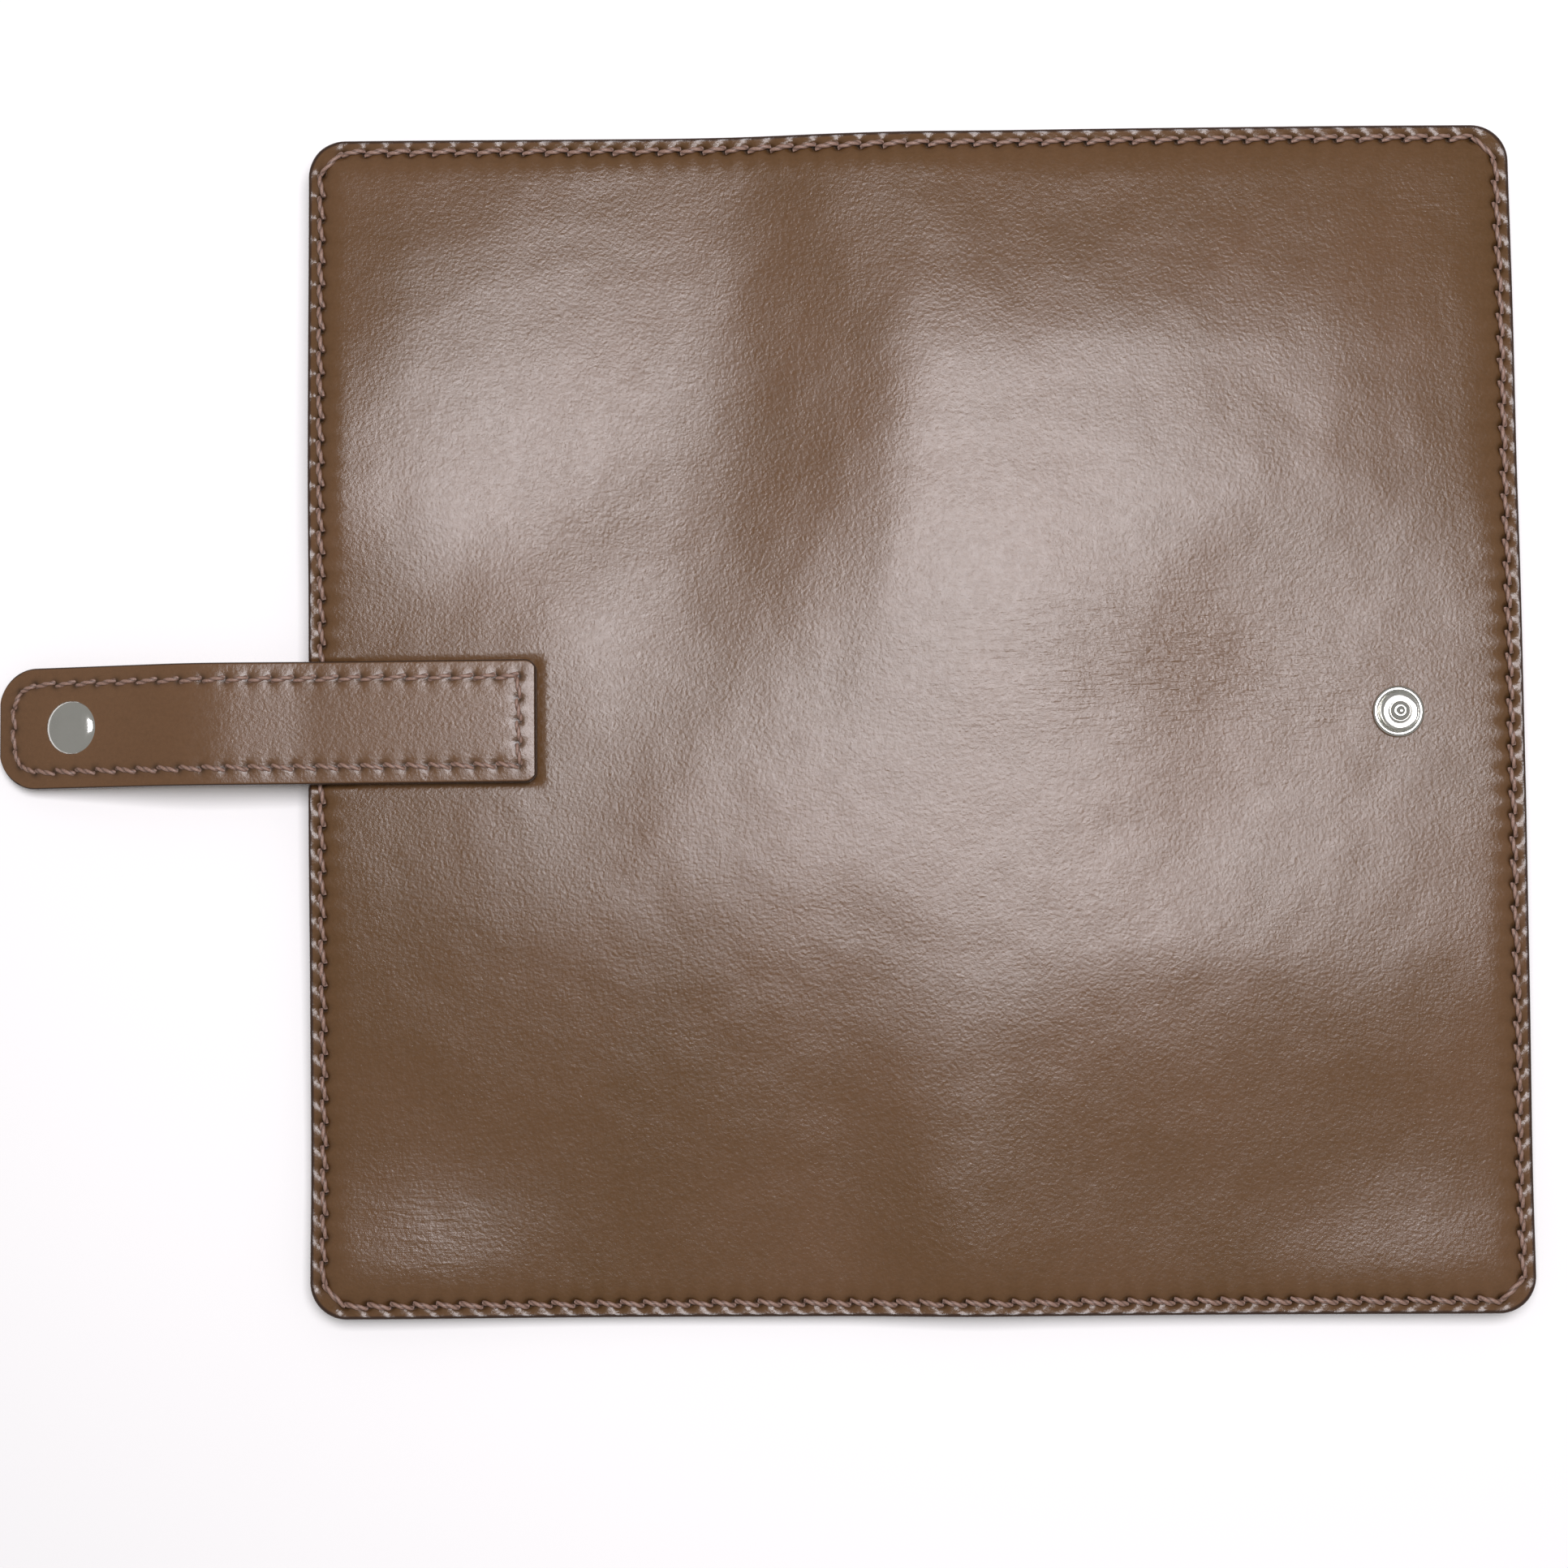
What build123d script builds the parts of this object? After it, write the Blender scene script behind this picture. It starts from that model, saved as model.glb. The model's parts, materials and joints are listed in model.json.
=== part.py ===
"""A long leather wallet lying open, outer side up, with a snap strap.

The wallet opens like a book about its spine, which runs along Y. The back half lies
towards -X and carries the strap, the front half lies towards +X and carries the snap's
stud. The pockets of both halves face down and rest on the plane z = 0. The origin is
the middle of that plane under the whole object, strap included.
"""

from build123d import *
from math import atan2, cos, degrees, hypot, radians, sin
import os

# ------------------------------------------------------------------ cover, millimetres
height = 193.0  # along Y
half_width = 98.5  # from the middle of the spine to a free edge, lying open
corner = 6.0  # radius of the cover's outer corners
outer_leather = 1.5
lining_leather = 0.7
contents = 5.2  # depth of one half's pockets, from the lining to the resting plane
facing_gap = 0.4  # between the two halves' pockets when the wallet is closed
fold_gap = 0.3  # between two pieces that meet at a fold line
content_clearance = 0.5  # from a fold line to the pockets' edges

# ------------------------------------------------------------------ strap
strap_width = 20.0
strap_outer = 1.3
strap_lining = 0.9
sewn_end = 61.0  # from the middle of the spine to the strap's sewn end
sewn_corner = 1.8
strap_edge_clearance = 0.4  # from the wallet's free edge to the strap's first bend
tip_length = 34.0  # from the second bend to the rounded end
tip_corner = 6.6
bridge_rise = 3.0  # degrees above level at rest
tip_droop = 13.0  # degrees below level at rest

# ------------------------------------------------------------------ snap
socket_height = 2.0
socket_radius = 4.1
stud_base_height = 0.7
stud_base_radius = 4.15
stud_height = 2.4
ball_radius = 1.65
neck_radius = 1.3
snap_clearance = 0.3  # between the socket's mouth and the stud's base, closed
snap_distance = 20.7  # from the second bend to the snap's axis
cap_radius = 4.5
cap_height = 1.4
post_radius = 1.85
stud_post_radius = 0.8
post_flange_radius = 4.0
post_flange = 0.35
hole_clearance = 0.1

# ------------------------------------------------------------------ sewing
stitch_pitch = 3.7
stitch_length = 2.7
stitch_width = 0.6
stitch_height = 0.3
stitch_slant = 12.0  # degrees away from the seam's line
seam_inset = 2.2
corner_cut = 3.5  # the stitch that crosses a corner starts this far from it
groove_width = 1.3
groove_depth = 0.35
strap_seam_inset = 2.8

# ------------------------------------------------------------------ pockets
bill_sheet = 0.9
bill_low = 4.1
coin_back_sheet = 0.6
coin_back_low = 3.35
coin_front_sheet = 1.8
card_sheet = 0.7
card_layer = 0.8  # one card slot's leather and its gap
card_mouth = 12.5  # from the middle of the spine to the first slot's mouth
card_step = 12.0
card_depth = 50.0
card_slots = 4
card_backing_sheet = 0.65
card_backing_low = 3.3

# ------------------------------------------------------------------ zipper
zipper_line = 25.0  # from the middle of the spine, towards the back half
window_width = 9.0
tape_width = 11.0
tape_thickness = 0.4
tape_low = 1.9
teeth_low = 1.55
tooth_thickness = 1.1
tooth_reach = 2.3
tooth_width = 1.1
tooth_pitch = 2.0
row_gap = 0.3  # from the zipper's centre line to the tips of one row's teeth
teeth_start = -72.0
teeth_end = 71.0
slider_y = 66.0
slider_length = 9.0
slider_front = 7.0
slider_rear = 6.4
slider_low = 1.05
slider_plate = 0.4
slider_channel = 1.3
pull_length = 16.0
pull_width = 4.5
pull_neck = 1.8
pull_thickness = 0.8
pull_axis_z = 0.55
pull_pin = 0.2
pull_bore = 0.26

# ------------------------------------------------------------------ derived places
lining_z = contents
leather_z = lining_z + lining_leather
top_z = leather_z + outer_leather
fold_x = contents + facing_gap / 2
closed_thickness = 2 * top_z + facing_gap
bridge_length = closed_thickness + socket_height + stud_base_height + snap_clearance
first_bend = half_width + strap_edge_clearance
strap_thickness = strap_outer + strap_lining
second_bend = first_bend + bridge_length * cos(radians(bridge_rise))
second_bend_z = top_z + bridge_length * sin(radians(bridge_rise))
strap_reach = second_bend + tip_length * cos(radians(tip_droop))
strap_reach += strap_thickness * sin(radians(tip_droop))
spine_x = (strap_reach - half_width) / 2
stud_x = first_bend - snap_distance
content_edge = fold_x + content_clearance
BACK, FRONT = -1, 1

os.makedirs("parts", exist_ok=True)


def save(builder, label):
    """Labels a finished piece and writes it to its own file."""
    builder.part.label = label
    export_step(builder.part, f"parts/{label}.step")


def across(side, distance):
    """The x of a place at a distance from the middle of the spine."""
    return spine_x + side * distance


def half_outline(side, inner, outer, low):
    """A full-height strip of one half, rounded where it reaches the free edge."""
    with BuildSketch(Plane.XY.offset(low)) as outline:
        with Locations((across(side, (inner + outer) / 2), 0)):
            Rectangle(outer - inner, height)
        if outer == half_width:
            free_corners = outline.vertices().sort_by(Axis.X, reverse=side == FRONT)[:2]
            fillet(free_corners, corner)
    return outline.sketch


def seam(start, end, pitch=stitch_pitch):
    """Stitch places along a line, evenly pitched, each slanted away from the line."""
    run_x = end[0] - start[0]
    run_y = end[1] - start[1]
    count = max(1, round(hypot(run_x, run_y) / pitch))
    turn = degrees(atan2(run_y, run_x)) + stitch_slant
    return [
        (start[0] + run_x * (i + 0.5) / count, start[1] + run_y * (i + 0.5) / count, turn)
        for i in range(count)
    ]


def stitches(places, low):
    """Places for stitches whose undersides lie at a height, as locations."""
    middle = low + stitch_height / 2
    return [Location((x, y, middle), (0, 0, turn)) for x, y, turn in places]


def cover_seam(side):
    """The stitches of one half of the cover: two long edges, two corners, free edge."""
    fold = across(side, fold_x + fold_gap)
    line = across(side, half_width - seam_inset)
    turn_in = across(side, half_width - seam_inset - corner_cut)
    row = height / 2 - seam_inset
    places = seam((fold, row), (turn_in, row)) + seam((turn_in, -row), (fold, -row))
    places += seam((line, row - corner_cut), (line, corner_cut - row))
    for sign in (1, -1):
        places += seam((turn_in, sign * row), (line, sign * (row - corner_cut)), corner_cut)
    return places


def cover_groove(side):
    """The shallow channel in the cover that one half's stitches lie in."""
    line_length = half_width - seam_inset - fold_x + groove_width / 2
    with BuildSketch(Plane.XY.offset(top_z)) as groove:
        with GridLocations(0, height - 2 * seam_inset, 1, 2):
            with Locations((across(side, fold_x + line_length / 2), 0)):
                Rectangle(line_length, groove_width)
        with Locations((across(side, half_width - seam_inset), 0)):
            Rectangle(groove_width, height - 2 * seam_inset)
        with Locations((across(side, half_width - seam_inset - corner_cut / 2), 0)):
            with GridLocations(0, height - 2 * seam_inset - corner_cut, 1, 2):
                Rectangle(corner_cut + groove_width, corner_cut + groove_width)
    return groove.sketch


# ------------------------------------------------------------------ cover, back half
with BuildPart() as outer_leather_back:
    extrude(half_outline(BACK, fold_x + fold_gap / 2, half_width, leather_z), amount=outer_leather)
    extrude(cover_groove(BACK), amount=-groove_depth, mode=Mode.SUBTRACT)
save(outer_leather_back, "outer_leather_back")

# ------------------------------------------------------------------ cover, front half
snap_hole = (across(FRONT, stud_x), 0)
with BuildPart() as outer_leather_front:
    extrude(half_outline(FRONT, fold_x + fold_gap / 2, half_width, leather_z), amount=outer_leather)
    extrude(cover_groove(FRONT), amount=-groove_depth, mode=Mode.SUBTRACT)
    with BuildSketch(Plane.XY.offset(leather_z)):
        with Locations(snap_hole):
            Circle(stud_post_radius + hole_clearance)
    extrude(amount=outer_leather, mode=Mode.SUBTRACT)
    with BuildSketch(Plane.XY.offset(leather_z)):
        with Locations(snap_hole):
            Circle(post_flange_radius + hole_clearance)
    extrude(amount=post_flange + hole_clearance, mode=Mode.SUBTRACT)
save(outer_leather_front, "outer_leather_front")

# ------------------------------------------------------------------ cover, spine
spine_strip = 2 * fold_x - fold_gap
with BuildPart() as outer_leather_spine:
    with BuildSketch(Plane.XY.offset(leather_z)):
        with Locations((spine_x, 0)):
            Rectangle(spine_strip, height)
    extrude(amount=outer_leather)
    with BuildSketch(Plane.XY.offset(top_z)):
        with Locations((spine_x, 0)):
            with GridLocations(0, height - 2 * seam_inset, 1, 2):
                Rectangle(spine_strip, groove_width)
    extrude(amount=-groove_depth, mode=Mode.SUBTRACT)
save(outer_leather_spine, "outer_leather_spine")

with BuildPart() as lining_spine:
    with BuildSketch(Plane.XY.offset(lining_z)):
        with Locations((spine_x, 0)):
            Rectangle(spine_strip, height)
    extrude(amount=lining_leather)
save(lining_spine, "lining_spine")

# ------------------------------------------------------------------ cover stitching
groove_floor = top_z - groove_depth
for side, half in ((BACK, "back"), (FRONT, "front")):
    with BuildPart() as perimeter_stitch:
        with Locations(*stitches(cover_seam(side), groove_floor)):
            Box(stitch_length, stitch_width, stitch_height)
    save(perimeter_stitch, f"perimeter_stitch_{half}")

seam_row = height / 2 - seam_inset
spine_seam = [
    place
    for row in (seam_row, -seam_row)
    for place in seam((spine_x - fold_x, row), (spine_x + fold_x, row))
]
with BuildPart() as perimeter_stitch_spine:
    with Locations(*stitches(spine_seam, groove_floor)):
        Box(stitch_length, stitch_width, stitch_height)
save(perimeter_stitch_spine, "perimeter_stitch_spine")

# ------------------------------------------------------------------ plain pocket sheets
window_inner = zipper_line - window_width / 2
window_outer = zipper_line + window_width / 2
plain_sheets = {
    "lining_back": (BACK, fold_x + fold_gap / 2, half_width, lining_z, lining_leather),
    "lining_front": (FRONT, fold_x + fold_gap / 2, half_width, lining_z, lining_leather),
    "bill_pocket_back": (BACK, content_edge, half_width, bill_low, bill_sheet),
    "bill_pocket_front": (FRONT, content_edge, half_width, bill_low, bill_sheet),
    "coin_pocket_back_wall": (BACK, content_edge, half_width, coin_back_low, coin_back_sheet),
    "card_slot_backing": (FRONT, content_edge, half_width, card_backing_low, card_backing_sheet),
}
for label, (side, inner, outer, low, thickness) in plain_sheets.items():
    with BuildPart() as sheet:
        extrude(half_outline(side, inner, outer, low), amount=thickness)
    save(sheet, label)

# ------------------------------------------------------------------ coin pocket's front
coin_front_strips = {
    "coin_pocket_front_wall": (window_outer, half_width, window_outer + strap_seam_inset),
    "coin_pocket_upper_strip": (content_edge, window_inner, window_inner - strap_seam_inset),
}
for label, (inner, outer, seam_line) in coin_front_strips.items():
    with BuildPart() as strip:
        extrude(half_outline(BACK, inner, outer, 0), amount=coin_front_sheet)
        with BuildSketch(Plane.XY):
            with Locations((across(BACK, seam_line), 0)):
                Rectangle(groove_width, height)
        extrude(amount=groove_depth, mode=Mode.SUBTRACT)
    save(strip, label)

coin_seam = [
    place
    for _, _, line in coin_front_strips.values()
    for place in seam((across(BACK, line), -seam_row), (across(BACK, line), seam_row))
]
with BuildPart() as coin_pocket_stitch:
    with Locations(*stitches(coin_seam, groove_depth - stitch_height)):
        Box(stitch_length, stitch_width, stitch_height)
save(coin_pocket_stitch, "coin_pocket_stitch")

# ------------------------------------------------------------------ card slots
card_seam_margin = 1.0  # from a slot's mouth and from the next slot to the stitches between
card_places = []
for slot in range(card_slots):
    mouth = card_mouth + slot * card_step
    front_most = slot == card_slots - 1
    low = (card_slots - 1 - slot) * card_layer
    bottom = half_width if front_most else min(mouth + card_depth, half_width - 2 * corner)
    with BuildPart() as card_slot:
        extrude(half_outline(FRONT, mouth, bottom, low), amount=card_sheet)
        if front_most:
            with BuildSketch(Plane.XY.offset(low)):
                with Locations((across(FRONT, (mouth + bottom) / 2), 0)):
                    Rectangle(bottom - mouth, groove_width)
            extrude(amount=groove_depth, mode=Mode.SUBTRACT)
    save(card_slot, f"card_slot_{slot + 1}")
    shown_to = half_width - seam_inset if front_most else mouth + card_step
    stitch_low = groove_depth - stitch_height if front_most else low - stitch_height
    shown = seam(
        (across(FRONT, mouth + card_seam_margin), 0),
        (across(FRONT, shown_to - card_seam_margin), 0),
    )
    card_places += stitches(shown, stitch_low)

with BuildPart() as card_slot_stitch:
    with Locations(*card_places):
        Box(stitch_length, stitch_width, stitch_height)
save(card_slot_stitch, "card_slot_stitch")

# ------------------------------------------------------------------ zipper tapes and teeth
tape_end_clearance = 1.0
for side_of_line, row in ((-1, "outer"), (1, "spine")):
    with BuildPart() as zipper_tape:
        with BuildSketch(Plane.XY.offset(tape_low)):
            tape_middle = row_gap + tooth_reach / 2 + tape_width / 2
            with Locations((across(BACK, zipper_line) + side_of_line * tape_middle, 0)):
                Rectangle(tape_width, height - 2 * tape_end_clearance)
        extrude(amount=tape_thickness)
    save(zipper_tape, f"zipper_tape_{row}")

    tooth_count = int((teeth_end - teeth_start) / tooth_pitch)
    stagger = tooth_pitch / 4 * side_of_line
    tooth_x = across(BACK, zipper_line) + side_of_line * (row_gap + tooth_reach / 2)
    tooth_middle = teeth_low + tooth_thickness / 2
    with BuildPart() as zipper_teeth:
        with Locations((tooth_x, (teeth_start + teeth_end) / 2 + stagger, tooth_middle)):
            with GridLocations(0, tooth_pitch, 1, tooth_count):
                Box(tooth_reach, tooth_width, tooth_thickness)
        with BuildSketch(Plane.XY.offset(tape_low)):
            with Locations((across(BACK, zipper_line), 0)):
                with Locations((side_of_line * (row_gap + tooth_reach / 2 + tape_width / 2), 0)):
                    Rectangle(tape_width, height)
        extrude(amount=tape_thickness, mode=Mode.SUBTRACT)
    save(zipper_teeth, f"zipper_teeth_{row}")

# ------------------------------------------------------------------ zipper stops
stop_length = 2.0
stop_width = 2.0
stop_height = tape_low - teeth_low
from_below = (Align.CENTER, Align.CENTER, Align.MIN)
with BuildPart() as zipper_top_stops:
    with Locations((across(BACK, zipper_line), teeth_end + stop_length, teeth_low)):
        with GridLocations(2 * row_gap + tooth_reach, 0, 2, 1):
            Box(stop_width, stop_length, stop_height, align=from_below)
save(zipper_top_stops, "zipper_top_stops")

with BuildPart() as zipper_bottom_stop:
    with Locations((across(BACK, zipper_line), teeth_start - stop_length, teeth_low)):
        Box(2 * (row_gap + tooth_reach), stop_length, stop_height, align=from_below)
save(zipper_bottom_stop, "zipper_bottom_stop")

# ------------------------------------------------------------------ zipper slider
slider_high = slider_low + 2 * slider_plate + slider_channel
slider_corner = 0.8
flange_clearance = 0.2  # from the tips of the flanges' inner faces to the teeth
flange_inner = row_gap + tooth_reach + flange_clearance
flange_height = 0.3
blade_thickness = 0.3
blade_length = 2.0
lug_clearance = 0.1  # from a lug to the side of the pull's neck
lug_width = 0.5
lug_inner = pull_neck / 2 + lug_clearance
lug_outer = lug_inner + lug_width
lug_length = 1.4
lug_low = 0.15
with BuildPart() as zipper_slider_body:
    with BuildSketch(Plane.XY.offset(slider_low)) as slider_outline:
        with BuildLine():
            Polyline(
                (across(BACK, zipper_line) - slider_rear / 2, slider_y - slider_length / 2),
                (across(BACK, zipper_line) + slider_rear / 2, slider_y - slider_length / 2),
                (across(BACK, zipper_line) + slider_front / 2, slider_y + slider_length / 2),
                (across(BACK, zipper_line) - slider_front / 2, slider_y + slider_length / 2),
                close=True,
            )
        make_face()
        fillet(slider_outline.vertices(), slider_corner)
    extrude(amount=slider_high - slider_low)
    with Locations((across(BACK, zipper_line), slider_y, (slider_low + slider_high) / 2)):
        Box(2 * flange_inner, 2 * slider_length, slider_channel, mode=Mode.SUBTRACT)
        Box(
            2 * slider_length,
            2 * slider_length,
            slider_channel - 2 * flange_height,
            mode=Mode.SUBTRACT,
        )
    with Locations(
        (
            across(BACK, zipper_line),
            slider_y + slider_length / 2 - blade_length / 2,
            (slider_low + slider_high) / 2,
        )
    ):
        Box(blade_thickness, blade_length, slider_channel + slider_plate)
    with Locations((across(BACK, zipper_line), slider_y, (lug_low + slider_low) / 2)):
        with GridLocations(lug_inner + lug_outer, 0, 2, 1):
            Box(lug_width, lug_length, slider_low - lug_low)
    with BuildSketch(Plane.YZ.offset(across(BACK, zipper_line) - lug_inner)):
        with Locations((slider_y, pull_axis_z)):
            Circle(pull_pin)
    extrude(amount=2 * lug_inner)
save(zipper_slider_body, "zipper_slider_body")

# ------------------------------------------------------------------ zipper pull
neck_length = 2.2
pull_corner = 1.4
pull_low = pull_axis_z - pull_thickness / 2
with BuildPart() as zipper_pull_tab:
    with BuildSketch(Plane.XY.offset(pull_low)):
        with Locations((across(BACK, zipper_line), slider_y - neck_length / 2)):
            Rectangle(pull_neck, neck_length)
    extrude(amount=pull_thickness)
    with BuildSketch(Plane.XY.offset(pull_low)):
        with Locations(
            (across(BACK, zipper_line), slider_y - (neck_length + pull_length) / 2)
        ):
            RectangleRounded(pull_width, pull_length - neck_length, pull_corner)
    extrude(amount=pull_thickness)
    with BuildSketch(Plane.YZ.offset(across(BACK, zipper_line) - pull_neck / 2)):
        with Locations((slider_y, pull_axis_z)):
            Circle(pull_thickness / 2)
    extrude(amount=pull_neck)
    with BuildSketch(Plane.YZ.offset(across(BACK, zipper_line) - pull_neck)):
        with Locations((slider_y, pull_axis_z)):
            Circle(pull_bore)
    extrude(amount=2 * pull_neck, mode=Mode.SUBTRACT)
save(zipper_pull_tab, "zipper_pull_tab")


# ------------------------------------------------------------------ strap
def strap_plane(distance, level, slope):
    """The underside of a stretch of strap: x runs towards the tip, z out of the leather."""
    tilt = radians(slope)
    return Plane(
        origin=(across(BACK, distance), 0, level),
        x_dir=(-cos(tilt), 0, -sin(tilt)),
        z_dir=(-sin(tilt), 0, cos(tilt)),
    )


base_plane = strap_plane(first_bend, top_z, 0)
bridge_plane = strap_plane(first_bend, top_z, -bridge_rise)
tip_plane = strap_plane(second_bend, second_bend_z, tip_droop)
base_length = first_bend - sewn_end
strap_row = strap_width / 2 - strap_seam_inset
half_gap = fold_gap / 2
stretches = {
    "base": (base_plane, -base_length, -half_gap, sewn_corner),
    "bridge": (bridge_plane, half_gap, bridge_length - half_gap, 0),
    "tip": (tip_plane, half_gap, tip_length, tip_corner),
}
for stretch, (plane, start, end, rounding) in stretches.items():
    for layer, low, thickness in (
        ("lining", 0, strap_lining),
        ("outer", strap_lining, strap_outer),
    ):
        with BuildPart() as strap_layer:
            with BuildSketch(plane.offset(low)) as strip:
                with Locations(((start + end) / 2, 0)):
                    Rectangle(end - start, strap_width)
                if stretch == "base":
                    fillet(strip.vertices().sort_by(Axis.X)[:2], rounding)
                if stretch == "tip":
                    fillet(strip.vertices().sort_by(Axis.X)[-2:], rounding)
            extrude(amount=thickness)
            if stretch == "tip":
                with BuildSketch(plane.offset(low)):
                    with Locations((snap_distance, 0)):
                        Circle(post_radius + hole_clearance)
                extrude(amount=thickness, mode=Mode.SUBTRACT)
        save(strap_layer, f"strap_{layer}_{stretch}")

    ends = {
        "base": (start + strap_seam_inset, 0),
        "bridge": (0, bridge_length),
        "tip": (0, end - strap_seam_inset),
    }[stretch]
    row_trim = tip_corner - strap_seam_inset if stretch == "tip" else 0
    places = seam((ends[0], strap_row), (ends[1] - row_trim, strap_row))
    places += seam((ends[1] - row_trim, -strap_row), (ends[0], -strap_row))
    if stretch == "base":
        places += seam((ends[0], strap_row - stitch_pitch / 2), (ends[0], stitch_pitch / 2 - strap_row))
    if stretch == "tip":
        cut = strap_row - row_trim
        places += seam((ends[1], cut), (ends[1], -cut))
        places += seam((ends[1] - row_trim, strap_row), (ends[1], cut))
        places += seam((ends[1] - row_trim, -strap_row), (ends[1], -cut))
    on_strap = [plane.location * place for place in stitches(places, strap_thickness)]
    with BuildPart() as strap_stitch:
        with Locations(*on_strap):
            Box(stitch_length, stitch_width, stitch_height)
    save(strap_stitch, f"strap_stitch_{stretch}")


# ------------------------------------------------------------------ snap, on the strap
snap_origin = tip_plane.from_local_coords((snap_distance, 0, 0))
snap_section = Plane(snap_origin, x_dir=tip_plane.x_dir, z_dir=-tip_plane.y_dir)
snap_axis = Axis(snap_origin, tip_plane.z_dir)
cap_rim = 0.35
dome_rise = cap_height - cap_rim
dome_radius = (cap_radius**2 + dome_rise**2) / (2 * dome_rise)
dome_half = degrees(atan2(cap_radius, dome_radius - dome_rise))
post_wall = 0.45
post_reach = 0.3
with BuildPart() as snap_cap:
    with BuildSketch(snap_section):
        with BuildLine():
            Line((cap_radius, strap_thickness), (cap_radius, strap_thickness + cap_rim))
            CenterArc(
                (0, strap_thickness + cap_height - dome_radius),
                dome_radius,
                90 - dome_half,
                dome_half,
            )
            Polyline(
                (0, strap_thickness + cap_height),
                (0, strap_thickness),
                (post_radius - post_wall, strap_thickness),
                (post_radius - post_wall, -post_reach),
                (post_radius, -post_reach),
                (post_radius, strap_thickness),
                (cap_radius, strap_thickness),
            )
        make_face()
    revolve(axis=snap_axis)
save(snap_cap, "snap_cap")

socket_flange = 0.5
socket_plate = 0.35
socket_barrel = 3.5
cavity_radius = 2.45
mouth_radius = 1.95
cavity_low = 1.5
with BuildPart() as snap_socket:
    with BuildSketch(snap_section):
        with BuildLine():
            Polyline(
                (mouth_radius, 0),
                (socket_radius, 0),
                (socket_radius, -socket_flange),
                (socket_barrel, -socket_flange),
                (socket_barrel, -socket_height),
                (mouth_radius, -socket_height),
                (mouth_radius, -cavity_low),
                (cavity_radius, -cavity_low),
                (cavity_radius, -socket_plate),
                (mouth_radius, -socket_plate),
                close=True,
            )
        make_face()
    revolve(axis=snap_axis)
save(snap_socket, "snap_socket")

spring_radius = 2.15
spring_wire = 0.2
spring_opening = 40.0
spring_level = -1.0
with BuildPart() as snap_socket_spring:
    with BuildSketch(snap_section):
        with Locations((spring_radius, spring_level)):
            Circle(spring_wire)
    revolve(axis=snap_axis, revolution_arc=360 - spring_opening)
save(snap_socket_spring, "snap_socket_spring")

# ------------------------------------------------------------------ snap, on the front
stud_section = Plane((*snap_hole, top_z), x_dir=(1, 0, 0), z_dir=(0, -1, 0))
stud_axis = Axis((*snap_hole, top_z), (0, 0, 1))
dish_height = 0.35
ridge_outer = 3.9
ridge_inner = 3.1
ball_middle = 1.65
post_top = 1.3
with BuildPart() as snap_stud:
    with BuildSketch(stud_section):
        with BuildLine():
            Polyline(
                (stud_post_radius + hole_clearance, 0),
                (stud_base_radius, 0),
                (stud_base_radius, dish_height),
                (ridge_outer, stud_base_height),
                (ridge_inner, stud_base_height),
                (ridge_inner - dish_height, dish_height),
                (neck_radius, dish_height),
                (neck_radius, ball_middle - neck_radius / 2),
                (ball_radius, ball_middle),
                (ball_radius * cos(radians(45)), stud_height - dish_height / 2),
                (ball_radius / 3, stud_height),
                (0, stud_height),
                (0, post_top + hole_clearance),
                (stud_post_radius + hole_clearance, post_top + hole_clearance),
                close=True,
            )
        make_face()
    revolve(axis=stud_axis)
save(snap_stud, "snap_stud")

with BuildPart() as snap_stud_post:
    with BuildSketch(Plane.XY.offset(leather_z)):
        with Locations(snap_hole):
            Circle(post_flange_radius)
    extrude(amount=post_flange)
    with BuildSketch(Plane.XY.offset(leather_z)):
        with Locations(snap_hole):
            Circle(stud_post_radius)
    extrude(amount=outer_leather + post_top)
save(snap_stud_post, "snap_stud_post")
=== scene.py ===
import json
import math

import bpy
import numpy as np
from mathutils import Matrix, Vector
from mathutils.geometry import delaunay_2d_cdt


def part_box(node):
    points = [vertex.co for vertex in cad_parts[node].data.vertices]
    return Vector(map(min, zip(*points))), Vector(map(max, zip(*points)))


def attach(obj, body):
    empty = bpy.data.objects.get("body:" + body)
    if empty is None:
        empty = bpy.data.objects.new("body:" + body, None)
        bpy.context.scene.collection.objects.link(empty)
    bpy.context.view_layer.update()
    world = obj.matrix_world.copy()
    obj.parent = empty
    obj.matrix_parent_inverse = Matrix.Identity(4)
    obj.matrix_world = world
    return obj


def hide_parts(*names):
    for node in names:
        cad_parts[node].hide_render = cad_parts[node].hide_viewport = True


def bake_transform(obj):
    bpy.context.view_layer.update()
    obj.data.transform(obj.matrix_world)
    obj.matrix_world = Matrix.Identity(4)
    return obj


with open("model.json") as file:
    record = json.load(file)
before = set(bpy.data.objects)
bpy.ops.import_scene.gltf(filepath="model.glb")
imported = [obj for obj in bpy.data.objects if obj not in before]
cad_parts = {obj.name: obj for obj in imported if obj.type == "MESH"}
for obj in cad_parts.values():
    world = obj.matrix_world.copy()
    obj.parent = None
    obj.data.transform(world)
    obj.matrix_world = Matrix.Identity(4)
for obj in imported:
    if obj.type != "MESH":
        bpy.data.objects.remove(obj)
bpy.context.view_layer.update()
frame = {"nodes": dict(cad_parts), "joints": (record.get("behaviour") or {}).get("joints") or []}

# All lengths in this script are millimetres until a mesh is made.
MM = 0.001
rng = np.random.default_rng(7)


# ---------------------------------------------------------------- places from the CAD
def box_mm(node):
    low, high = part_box(node)
    return np.array(low) / MM, np.array(high) / MM


joints = {joint["name"]: joint for joint in frame["joints"]}


def pivot(name):
    return np.array(joints[name]["pos_m"]) / MM


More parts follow.
